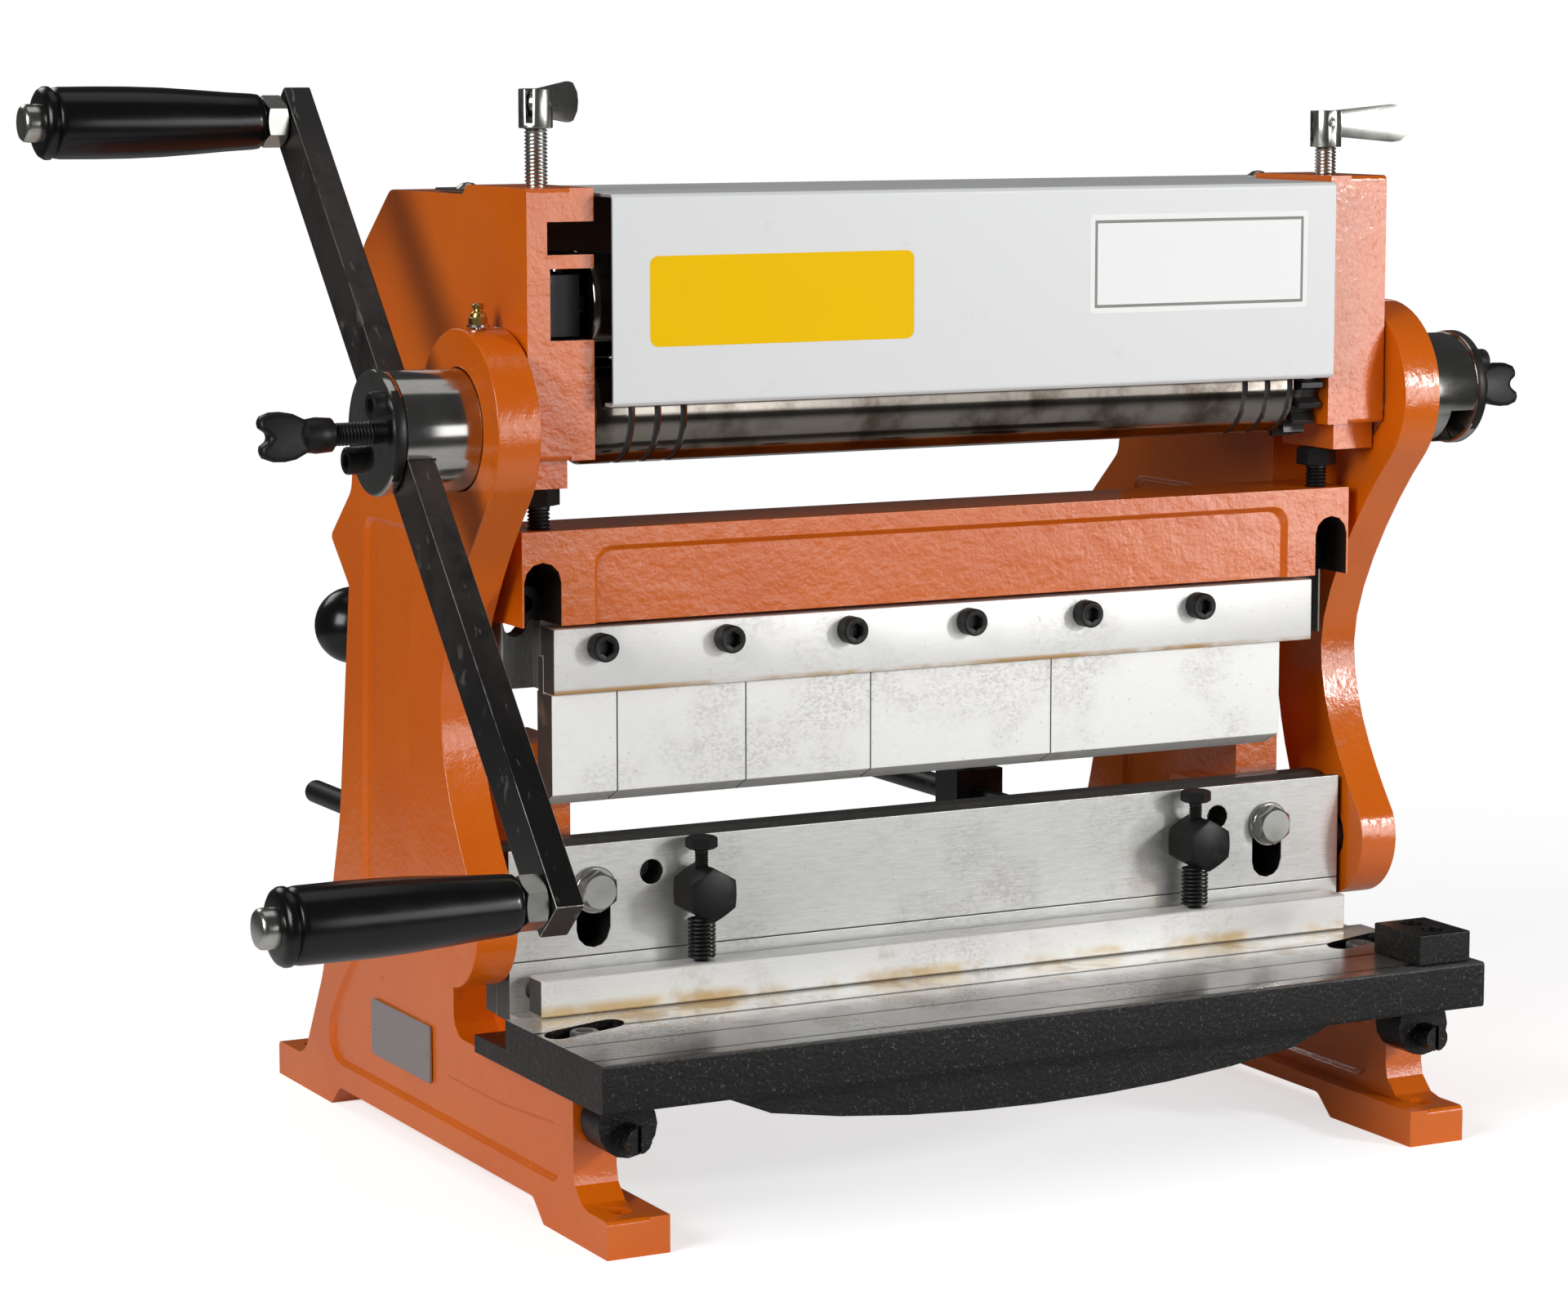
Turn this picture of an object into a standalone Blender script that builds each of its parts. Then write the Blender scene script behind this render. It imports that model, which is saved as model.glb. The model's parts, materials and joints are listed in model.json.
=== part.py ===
"""Combination sheet metal machine: shear, press brake and slip roll for sheet 305 mm wide.

Frame of reference while modelling: X to the machine's right with 0 midway between the side
frames, Y to the back with 0 at the front feet, Z up with 0 on the bench. One empty moves the
whole machine so that its own origin is the middle of its box on the bench.
"""
import math

import bmesh
import bpy
from mathutils import Matrix, Vector

for old in list(bpy.data.objects):
    bpy.data.objects.remove(old, do_unlink=True)

# Fits shared by every piece
FIT = 0.0003
WELD = 0.000001
OVERRUN = 0.002
HALF_TURN = math.pi

# Side frames: outline in Y and Z, thickness in X
FRAME_OUT = 0.1763
WEB_IN = 0.1600
FOOT_IN = 0.1527
HEAD_IN = 0.1513
FOOT_HEIGHT = 0.0133
FRONT_PAD = 0.0520
REAR_PAD_FROM = 0.2508
REAR_END = 0.3071
ARCH_RISE = 0.0080
ARCH_RUN = 0.0090
COLUMN_FRONT = 0.0268
FOOT_FILLET = 0.0120
SEAT = 0.0513
SEAT_FILLET = 0.0080
NECK_FRONT = 0.1295
NECK_FROM = 0.1080
WAIST_BACK = 0.1520
WAIST_HIGH = 0.1700
GUIDE_FRONT = 0.1083
GUIDE_FROM = 0.2120
HEAD_FRONT = 0.0592
HEAD_BOTTOM = 0.2645
HEAD_TOP = 0.3573
HEAD_BACK = 0.1100
CHIN_BOTTOM = 0.2544
CHIN_FRONT = 0.0660
CHIN_IN = 0.1587
CREST = 0.3538
CREST_BACK = 0.1795
NECK_REAR_HIGH = 0.2407
NECK_REAR = 0.2215
HUMP_BACK = 0.2429
HUMP_HIGH = 0.2217
NOTCH_BACK = 0.2253
NOTCH_HIGH = 0.2046
REAR_EDGE = 0.2378
REAR_EDGE_HIGH = 0.1140
FLARE_BACK = 0.2580
FLARE_HIGH = 0.0500
FLARE_FOOT = 0.2790
LEG_BACK = 0.1290
EAR_IN = 0.1415
EAR_FRONT = 0.1033
EAR_BACK = 0.1400
EAR_TOP = 0.1600
EAR_FOOT_IN = 0.1350
EAR_FOOT_TOP = 0.1220
FOOT_HOLE_RADIUS = 0.0042
FOOT_HOLE_INSET = 0.0131
FRONT_HOLE_BACK = 0.0120
REAR_HOLE_BACK = 0.2950

# Rolls, gears and the eccentric hubs on the lower roll's ends
ROLL_RADIUS = 0.0185
ROLL_BACK = 0.0805
LOWER_ROLL_HIGH = 0.2795
ROLL_NIP = 0.0003
ROLL_LEFT_END = 0.1500
ROLL_RIGHT_END = 0.1390
ROLL_CHAMFER = 0.0010
GROOVE_RADIUS = 0.0012
GROOVE_FIRST = 0.1160
GROOVE_STEP = 0.0100
GROOVE_COUNT = 3
LOWER_JOURNAL = 0.0125
UPPER_JOURNAL = 0.0090
GEAR_TEETH = 16
GEAR_WIDTH = 0.0095
TOOTH_RISE = 0.0017
TOOTH_DROP = 0.0024
TOOTH_ROOT_SHARE = 0.30
TOOTH_TIP_SHARE = 0.125
ECCENTRICITY = 0.0045
HUB_RADIUS = 0.0210
HUB_END = 0.2200
HUB_BORE_END = 0.2080
CAP_RADIUS = 0.0217
CAP_THICK = 0.0049
CAP_CHAMFER = 0.0006
CAP_SCREW_OUT = 0.0153
CAP_SCREW_RADIUS = 0.0030
CAP_SCREW_HEAD = 0.0048
CAP_SCREW_RISE = 0.0070
CAP_SCREW_REACH = 0.0090
SOCKET_SHARE = 0.55

# Upper roll carried in blocks, pressed by two clamp screws with folding paddles
BLOCK_FRONT = 0.0685
BLOCK_BACK = 0.0925
BLOCK_HALF_HIGH = 0.0108
BLOCK_OUT = 0.1673
BLOCK_IN = 0.1524
SLOT_OUT = 0.1677
SLOT_LOW = 0.3056
SLOT_HIGH = 0.3300
UPPER_SLOT_LOW = 0.3347
UPPER_SLOT_HIGH = 0.3459
UPPER_SLOT_OUT = 0.1687
SLOT_BACK = 0.1000
ROLL_LIFT = 0.0015
CLAMP_SCREW_OUT = 0.1630
CLAMP_SCREW_RADIUS = 0.0040
CLEVIS_RADIUS = 0.0059
CLEVIS_HEIGHT = 0.0136
CLEVIS_SLOT = 0.0026
CLEVIS_PIVOT_DROP = 0.0048
LEFT_CLEVIS_HIGH = 0.3770
RIGHT_CLEVIS_HIGH = 0.3675
PADDLE_LENGTH = 0.0350
PADDLE_ROOT = 0.0042
PADDLE_TIP = 0.0078
PADDLE_THICK = 0.0018
LEFT_PADDLE_TURN = math.radians(42)
RIGHT_PADDLE_TURN = math.radians(-10)

# Connecting rods outside the frames
ROD_IN = 0.1773
ROD_OUT = 0.1930
ROD_RING = 0.0345
ROD_EYE_BACK = 0.0930
ROD_EYE_HIGH = 0.1020
ROD_EYE = 0.0240
ROD_WAIST_FRONT = 0.0990
ROD_WAIST_BACK = 0.1300
ROD_WAIST_HIGH = 0.1750
ROD_PIN_RADIUS = 0.0060
ROD_PIN_PLAY = 0.0055
ROD_PIN_POCKET = 0.0110
NIPPLE_RADIUS = 0.0030
NIPPLE_HEIGHT = 0.0085

# Crank: bar through the left hub, two grips, wing screws in both caps
BAR_TILT = math.radians(41.75)
BAR_UP = 0.1470
BAR_DOWN = 0.1960
BAR_WIDE = 0.0183
BAR_THICK = 0.0100
GRIP_INSET = 0.0082
NUT_ACROSS = 0.0160
NUT_THICK = 0.0082
GRIP_START = 0.0006
GRIP_LENGTH = 0.0810
GRIP_SMALL = 0.0098
GRIP_BIG = 0.0127
GRIP_ROUND = 0.0022
SPINDLE_RADIUS = 0.0045
SPINDLE_HEAD = 0.0070
SPINDLE_DOME = 0.0030
WING_THREAD = 0.0040
WING_NECK = 0.0062
WING_SPAN = 0.0165
WING_THICK = 0.0038
WING_DEEP = 0.0060
LEFT_WING_STANDOFF = 0.0140
RIGHT_WING_STANDOFF = 0.0015
WING_NECK_LONG = 0.0100

# Rear roll on a slanted slide, with a ball knob screw in each frame
SLIDE_TILT = math.radians(42)
SCREW_MOUTH_BACK = 0.2285
SCREW_MOUTH_HIGH = 0.2085
REAR_ROLL_REACH = 0.1000
REAR_BLOCK_HALF = 0.0115
REAR_BLOCK_LONG = 0.0140
REAR_TRAVEL = 0.0100
REAR_BLOCK_OUT = 0.1710
REAR_JOURNAL = 0.0080
REAR_SCREW_RADIUS = 0.0040
KNOB_RADIUS = 0.0150
KNOB_DROP = 0.0300
KNOB_FLAT_SHARE = 0.90
KNOB_OUT = 0.1655

# Guard: bent sheet over the rolls
GUARD_HALF = 0.1480
GUARD_FRONT = 0.0511
GUARD_BOTTOM = 0.2828
GUARD_SHEET = 0.0012
GUARD_LIP = 0.0070
GUARD_BACK = 0.1480
GUARD_TAB_FRONT = 0.1150
GUARD_TAB_OUT = 0.1720
GUARD_BEND = 0.0020
GUARD_SCREW_OUT = 0.1665
GUARD_SCREW_RADIUS = 0.0022
GUARD_SCREW_HEAD = 0.0042
GUARD_SCREW_DOME = 0.0022
GUARD_SCREW_REACH = 0.0080

# Upper beam with clamp bar and fingers
BEAM_HALF = 0.1723
BEAM_FRONT = 0.0746
BEAM_STEP = 0.0930
BEAM_BACK = 0.1080
BEAM_TOP = 0.2389
BEAM_LEG = 0.2056
BEAM_LOW = 0.1810
PANEL_HALF = 0.1445
PANEL_TOP = 0.2327
PANEL_DEPTH = 0.0022
PANEL_ROUND = 0.0060
YOKE_OUT = 0.1644
YOKE_RADIUS = 0.0070
YOKE_HIGH = 0.2210
YOKE_LOW = 0.2040
YOKE_POCKET_BACK = 0.0985
BEAM_BOLT_HIGH = 0.2120
BEAM_BOLT_RADIUS = 0.0040
BEAM_BOLT_HEAD = 0.0064
BEAM_BOLT_RISE = 0.0080
BEAM_BOLT_REACH = 0.0130
JACK_OUT = 0.1623
JACK_BACK = 0.0825
JACK_ACROSS = 0.0130
JACK_HEAD = 0.0068
JACK_RADIUS = 0.0040
JACK_REACH = 0.0150
CLAMP_HALF = 0.1586
CLAMP_FRONT = 0.0784
CLAMP_BACK = 0.0880
CLAMP_LOW = 0.1806
CLAMP_TOP = 0.2039
CLAMP_SCREWS = 6
CLAMP_SCREW_FIRST = -0.1410
CLAMP_SCREW_STEP = 0.0495
CLAMP_BAR_SCREW_HIGH = 0.1969
M6_RADIUS = 0.0030
M6_HEAD = 0.0050
M6_HEAD_LONG = 0.0060
M6_WASHER = 0.0060
WASHER_THICK = 0.0012
CLAMP_BAR_SCREW_REACH = 0.0080
FINGER_LEFT = -0.1586
INCH = 0.0254
FINGER_INCHES = (1, 2, 2, 3, 4)
FINGER_FRONT = 0.0812
FINGER_TIP_HIGH = 0.1401
FINGER_BEVEL_HIGH = 0.1448
FINGER_HEEL_HIGH = 0.1436
FINGER_TANG_TOP = 0.1932
FINGER_BACK = 0.0936

# Ram: V die beam, upper blade, guide bolts, hold-down
RAM_HALF = 0.1750
RAM_FRONT = 0.0824
RAM_BACK = 0.1030
RAM_TOP = 0.1263
RAM_STEP = 0.0865
RAM_LOW = 0.0660
BLADE_BACK = 0.0940
BLADE_LOW = 0.0655
VEE_HALF = 0.0050
VEE_BACK = 0.0904
RAM_SLOT_OUT = 0.1423
RAM_SLOT_RADIUS = 0.0065
RAM_SLOT_LOW = 0.0957
RAM_SLOT_HIGH = 0.1108
RAM_HOLE_OUT = 0.1195
RAM_HOLE_HIGH = 0.1143
RAM_HOLE_RADIUS = 0.0045
RAM_HOLE_DEEP = 0.0120
GUIDE_BOLT_HIGH = 0.1100
GUIDE_BOLT_RADIUS = 0.0040
GUIDE_BOLT_ACROSS = 0.0130
GUIDE_BOLT_HEAD = 0.0060
GUIDE_BOLT_WASHER = 0.0084
GUIDE_BOLT_REACH = 0.0180
BLADE_SCREW_OUTS = (-0.1650, -0.0830, 0.0, 0.0830, 0.1650)
BLADE_SCREW_HIGH = 0.0762
BLADE_BORE = 0.0066
BLADE_SINK = 0.0070
BLADE_SCREW_REACH = 0.0060
STUD_OUT = 0.1040
STUD_HIGH = 0.1075
STUD_FRONT = 0.0625
STUD_HEX_LONG = 0.0170
STUD_ACROSS = 0.0170
STUD_RADIUS = 0.0050
STUD_REACH = 0.0120
HOLD_FRONT = 0.0680
HOLD_THICK = 0.0113
HOLD_HALF = 0.1690
HOLD_HEIGHT = 0.0135
HOLD_SCREW_HEAD_LOW = 0.1228
HOLD_SCREW_HEAD = 0.0045
HOLD_SCREW_ACROSS = 0.0100
HOLD_SCREW_REACH = 0.0080
SPRING_WIRE = 0.00055
SPRING_RADIUS = 0.0046
SPRING_CURLS = 8
SPRING_POINTS = 9

# Table, lower blade, squaring block and lugs
TABLE_HALF = 0.1805
TABLE_FRONT = -0.0060
TABLE_TOP = 0.0686
TABLE_THICK = 0.0170
TABLE_BACK = 0.0737
LEDGE_BACK = 0.1010
LEDGE_TOP = 0.0580
TABLE_GROOVES = (0.0080, 0.0310, 0.0546)
TABLE_GROOVE_HALF = 0.0008
TABLE_GROOVE_DEEP = 0.0012
TABLE_EDGE_BEVEL = 0.0012
RECESS_OUT = 0.1620
RECESS_BACK = 0.0540
RECESS_HALF_LONG = 0.0110
RECESS_RADIUS = 0.0062
RECESS_DEEP = 0.0065
TABLE_SCREW_RADIUS = 0.0030
TABLE_SCREW_HEAD = 0.0050
TABLE_SCREW_RISE = 0.0045
TABLE_SCREW_REACH = 0.0120
RIB_FRONT = 0.0120
RIB_BACK = 0.0240
RIB_HALF = 0.1350
RIB_DROP = 0.0200
RIB_POINTS = 10
LUG_OUT = 0.1640
LUG_HIGH = 0.0430
LUG_RADIUS = 0.0110
LUG_FRONT = 0.0090
LUG_BACK = 0.0240
LUG_SCREW_RADIUS = 0.0048
LUG_SCREW_FRONT = 0.0000
LUG_SCREW_SLOT = 0.0014
LUG_SCREW_SLOT_DEEP = 0.0022
LUG_SCREW_DROP = 0.0030
LOWER_BLADE_HALF = 0.1750
LOWER_BLADE_FRONT = 0.0740
LOWER_BLADE_BACK = 0.0821
LOWER_BLADE_SCREW_OUTS = (-0.1200, -0.0400, 0.0400, 0.1200)
SQUARE_IN = 0.1530
SQUARE_OUT = 0.1760
SQUARE_FRONT = -0.0030
SQUARE_BACK = 0.0260
SQUARE_RISE = 0.0115
SQUARE_BEVEL = 0.0015
SQUARE_SCREW_RADIUS = 0.0022
SQUARE_SCREW_HEAD = 0.0040
SQUARE_SINK = 0.0045

# Back gauge on two rods behind the ram
GAUGE_ROD_OUT = 0.1200
GAUGE_ROD_HIGH = 0.0940
GAUGE_ROD_RADIUS = 0.0048
GAUGE_ROD_END = 0.4090
GAUGE_ROD_REACH = 0.0080
GAUGE_BLOCK_FRONT = 0.2640
GAUGE_BLOCK_DEEP = 0.0180
GAUGE_BLOCK_WIDE = 0.0220
GAUGE_BLOCK_LOW = 0.0800
GAUGE_BLOCK_TOP = 0.1060
GAUGE_FACE_THICK = 0.0060
GAUGE_FACE_LOW = 0.0620
GAUGE_FACE_TOP = 0.0865
GAUGE_FACE_HALF = 0.1450
GAUGE_SCREW_RADIUS = 0.0025
GAUGE_KNURL = 0.0070
GAUGE_KNURL_LONG = 0.0080

# Small plate riveted on the left frame
PLATE_FROM = 0.1533
PLATE_TO = 0.2095
PLATE_LOW = 0.0283
PLATE_HIGH = 0.0496
PLATE_THICK = 0.0008

# Levels that follow from the sizes above
HUB_HIGH = LOWER_ROLL_HIGH - ECCENTRICITY
UPPER_ROLL_HIGH = LOWER_ROLL_HIGH + 2 * ROLL_RADIUS + ROLL_NIP
TABLE_LOW = TABLE_TOP - TABLE_THICK
HOLD_LOW = TABLE_TOP + FIT
HOLD_TOP = HOLD_LOW + HOLD_HEIGHT
HOLD_MID = HOLD_FRONT + HOLD_THICK / 2
BAR_DIRECTION = Vector((0.0, math.sin(BAR_TILT), math.cos(BAR_TILT)))
BAR_OUT = HUB_END - FIT
SLIDE_DIRECTION = Vector((0.0, -math.sin(SLIDE_TILT), math.cos(SLIDE_TILT)))
SCREW_MOUTH = Vector((0.0, SCREW_MOUTH_BACK, SCREW_MOUTH_HIGH))
REAR_ROLL_AT = SCREW_MOUTH + SLIDE_DIRECTION * REAR_ROLL_REACH

COLLECTION = bpy.data.collections.new("combination_sheet_metal_machine")
CUTTERS = bpy.data.collections.new("cutters")
bpy.context.scene.collection.children.link(COLLECTION)
bpy.context.scene.collection.children.link(CUTTERS)


def material(name, colour, roughness, metallic):
    made = bpy.data.materials.new(name)
    made.use_nodes = True
    shader = made.node_tree.nodes["Principled BSDF"]
    shader.inputs["Base Color"].default_value = (*colour, 1.0)
    shader.inputs["Roughness"].default_value = roughness
    shader.inputs["Metallic"].default_value = metallic
    made.diffuse_color = (*colour, 1.0)
    return made


ORANGE = material("orange_enamel", (0.72, 0.17, 0.02), 0.25, 0.0)
STEEL = material("ground_steel", (0.62, 0.61, 0.58), 0.35, 1.0)
DARK_STEEL = material("dark_steel", (0.16, 0.15, 0.15), 0.40, 1.0)
BLACK_CAST = material("black_casting", (0.03, 0.03, 0.03), 0.55, 0.0)
BLACK_OXIDE = material("black_oxide", (0.03, 0.03, 0.03), 0.35, 1.0)
GRIP_BLACK = material("grip_black", (0.015, 0.015, 0.015), 0.15, 0.0)
CHROME = material("chrome", (0.80, 0.80, 0.80), 0.12, 1.0)
BRASS = material("brass", (0.70, 0.48, 0.20), 0.25, 1.0)
GREY_PAINT = material("grey_paint", (0.72, 0.73, 0.72), 0.45, 0.0)

MACHINE = bpy.data.objects.new("machine_origin", None)
COLLECTION.objects.link(MACHINE)


def keep(made, paint, smooth=True):
    """Puts a finished piece in the machine with its own paint."""
    own = paint.copy()
    own.name = made.name + "_" + paint.name
    made.data.materials.clear()
    made.data.materials.append(own)
    COLLECTION.objects.link(made)
    made.parent = MACHINE
    if smooth:
        made.data.shade_smooth()
        made.data.set_sharp_from_angle(angle=math.radians(35))
    return made


def hide(made):
    """Puts a helper shape with the cutters."""
    CUTTERS.objects.link(made)
    made.parent = MACHINE
    made.hide_render = True
    made.display_type = 'WIRE'
    return made


def from_bmesh(name, shape, at):
    data = bpy.data.meshes.new(name)
    shape.to_mesh(data)
    shape.free()
    made = bpy.data.objects.new(name, data)
    made.location = at
    return made


def box(name, low, high, bevel=0.0, pivot=None):
    """A block between two corners, its origin at its centre or at a pivot."""
    low, high = Vector(low), Vector(high)
    centre = (low + high) / 2
    at = Vector(pivot) if pivot is not None else centre
    shape = bmesh.new()
    bmesh.ops.create_cube(shape, size=1.0)
    size = high - low
    for corner in shape.verts:
        corner.co = Vector(a * b for a, b in zip(corner.co, size)) + centre - at
    if bevel:
        bmesh.ops.bevel(shape, geom=shape.edges[:], offset=bevel, segments=2, profile=0.5,
                        affect='EDGES')
    return from_bmesh(name, shape, at)


TURN = {'X': Matrix.Rotation(math.pi / 2, 4, 'Y'), 'Y': Matrix.Rotation(-math.pi / 2, 4, 'X'),
        'Z': Matrix.Identity(4)}


def along(direction):
    """Rotation that takes +Z to a direction."""
    return Vector(direction).to_track_quat('Z', 'Y').to_matrix().to_4x4()


def rod(name, radius, start, end, sides=24, turn=0.0):
    """A cylinder or, with six sides, a hexagon, from one point to another."""
    start, end = Vector(start), Vector(end)
    shape = bmesh.new()
    bmesh.ops.create_cone(shape, cap_ends=True, segments=sides, radius1=radius, radius2=radius,
                          depth=(end - start).length)
    bmesh.ops.rotate(shape, cent=(0, 0, 0), matrix=Matrix.Rotation(turn, 3, 'Z'), verts=shape.verts)
    middle = (start + end) / 2
    bmesh.ops.transform(shape, matrix=along(end - start), verts=shape.verts)
    return from_bmesh(name, shape, middle)


def turned(name, profile, at, axis, steps=32):
    """A turned shape: radius and height pairs from top to bottom, spun about an axis."""
    data = bpy.data.meshes.new(name)
    data.from_pydata([(radius, 0.0, height) for radius, height in profile],
                     [(index, index + 1) for index in range(len(profile) - 1)], [])
    made = bpy.data.objects.new(name, data)
    spin = made.modifiers.new("spin", 'SCREW')
    spin.angle = 2 * math.pi
    spin.steps = steps
    spin.render_steps = steps
    spin.use_merge_vertices = True
    spin.merge_threshold = WELD
    turn = TURN[axis] if isinstance(axis, str) else along(axis)
    made.matrix_world = Matrix.Translation(at) @ turn
    return solid(made)


def solid(made):
    """Turns a curve or a modified object into a plain welded mesh object of the same name."""
    scene = bpy.context.scene
    scene.collection.objects.link(made)
    bpy.context.view_layer.update()
    shaped = made.evaluated_get(bpy.context.evaluated_depsgraph_get())
    data = bpy.data.meshes.new_from_object(shaped)
    shape = bmesh.new()
    shape.from_mesh(data)
    bmesh.ops.remove_doubles(shape, verts=shape.verts, dist=WELD)
    bmesh.ops.recalc_face_normals(shape, faces=shape.faces)
    shape.to_mesh(data)
    shape.free()
    name = made.name
    place = made.matrix_world.copy()
    bpy.data.objects.remove(made, do_unlink=True)
    data.name = name
    fresh = bpy.data.objects.new(name, data)
    fresh.matrix_world = place
    return fresh


PLANE = {'X': Matrix(((0, 0, 1, 0), (1, 0, 0, 0), (0, 1, 0, 0), (0, 0, 0, 1))),
         'Y': Matrix(((1, 0, 0, 0), (0, 0, -1, 0), (0, 1, 0, 0), (0, 0, 0, 1))),
         'Z': Matrix.Identity(4)}


def plate(name, points, start, end, axis, pivot=(0.0, 0.0, 0.0)):
    """A flat outline given as pairs in the plane across an axis, from start to end along it."""
    pivot = Vector(pivot)
    curve = bpy.data.curves.new(name, 'CURVE')
    curve.dimensions = '2D'
    curve.fill_mode = 'BOTH'
    curve.extrude = abs(end - start) / 2
    line = curve.splines.new('POLY')
    line.points.add(len(points) - 1)
    flat = PLANE[axis].to_3x3().transposed() @ pivot
    for spot, (across, up) in zip(line.points, points):
        spot.co = (across - flat.x, up - flat.y, 0.0, 1.0)
    line.use_cyclic_u = True
    made = bpy.data.objects.new(name, curve)
    middle = (start + end) / 2
    offset = PLANE[axis] @ Vector((0.0, 0.0, 1.0))
    slide = offset * (middle * (offset.x + offset.y + offset.z) - pivot.dot(offset))
    made.matrix_world = Matrix.Translation(pivot) @ PLANE[axis]
    made = solid(made)
    made.data.transform(Matrix.Translation(PLANE[axis].to_3x3().transposed() @ slide))
    return made


def arc(centre, radius, start, end, points):
    """Points on an arc, angles in degrees counted from the first axis towards the second."""
    spots = []
    for index in range(points + 1):
        angle = math.radians(start + (end - start) * index / points)
        spots.append((centre[0] + radius * math.cos(angle), centre[1] + radius * math.sin(angle)))
    return spots


def slot(low, high, radius, centre, points=6):
    """An upright slot with round ends."""
    return (arc((centre, high), radius, 0, 180, points) + arc((centre, low), radius, 180, 360, points))


def combine(made, other, operation):
    change = made.modifiers.new(other.name, 'BOOLEAN')
    change.operation = operation
    change.object = hide(other)
    change.solver = 'EXACT'
    return made


def cut(made, *others):
    for other in others:
        combine(made, other, 'DIFFERENCE')
    return made


def join(made, *others):
    for other in others:
        combine(made, other, 'UNION')
    return made


def socket_screw(name, at, direction, radius, head, rise, reach, sides=24, sunk=0.0):
    """A cap screw: its head's underside at a point, the shank running on along a direction."""
    at, direction = Vector(at), Vector(direction)
    made = rod(name, head, at - direction * rise, at + direction * sunk, sides)
    join(made, rod(name + "_shank", radius, at - direction * rise / 2, at + direction * reach, sides))
    cut(made, rod(name + "_socket", head * SOCKET_SHARE, at - direction * (rise + OVERRUN),
                  at - direction * rise / 2, 6))
    return made


def hex_bolt(name, at, direction, radius, across, rise, reach, washer=0.0, turn=0.0):
    """A hexagon bolt with its head's underside, or its washer's, at a point."""
    at, direction = Vector(at), Vector(direction)
    made = rod(name, across / math.sqrt(3), at - direction * rise, at, 6, turn)
    join(made, rod(name + "_shank", radius, at - direction * rise / 2, at + direction * reach, 12))
    if washer:
        join(made, rod(name + "_washer", washer, at - direction * WASHER_THICK, at, 18))
    return made


def fillet(corners, points=3):
    """An outline from corners given as across, up and the radius of the rounded corner."""
    outline = []
    for index, (across, up, radius) in enumerate(corners):
        here = Vector((across, up))
        if not radius:
            outline.append((across, up))
            continue
        before = Vector(corners[index - 1][:2]) - here
        after = Vector(corners[(index + 1) % len(corners)][:2]) - here
        half = before.angle(after) / 2
        reach = min(radius / math.tan(half), before.length / 2, after.length / 2)
        centre = here + (before.normalized() + after.normalized()).normalized() * reach / math.cos(half)
        start = here + before.normalized() * reach - centre
        end = here + after.normalized() * reach - centre
        for step in range(points + 1):
            share = step / points
            spot = start * (1 - share) + end * share
            spot = centre + spot.normalized() * start.length
            outline.append((spot.x, spot.y))
    return outline


def bend(start, start_way, end, end_way, points=8):
    """Points of a smooth bend between two points, leaving and arriving along two ways."""
    start, start_way, end, end_way = (Vector(each) for each in (start, start_way, end, end_way))
    spots = []
    for step in range(1, points):
        t = step / points
        spot = (start * (2 * t ** 3 - 3 * t ** 2 + 1) + start_way * (t ** 3 - 2 * t ** 2 + t)
                + end * (3 * t ** 2 - 2 * t ** 3) + end_way * (t ** 3 - t ** 2))
        spots.append((spot.x, spot.y))
    return spots


def tilted(reach_from, reach_to, half):
    """Corners in Y and Z of a strip along the rear slide, measured from the screw's mouth."""
    across = Vector((0.0, SLIDE_DIRECTION.z, -SLIDE_DIRECTION.y)) * half
    ends = (SCREW_MOUTH + SLIDE_DIRECTION * reach_from, SCREW_MOUTH + SLIDE_DIRECTION * reach_to)
    spots = (ends[0] - across, ends[0] + across, ends[1] + across, ends[1] - across)
    return [(spot.y, spot.z) for spot in spots]


def side_box(name, side, inner, outer, front, back, low, high, bevel=0.0):
    """A block between two distances from the machine's middle, on one side of it."""
    left, right = sorted((side * inner, side * outer))
    return box(name, (left, front, low), (right, back, high), bevel)


def side_plate(name, side, points, inner, outer):
    return plate(name, points, *sorted((side * inner, side * outer)), 'X')


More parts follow.
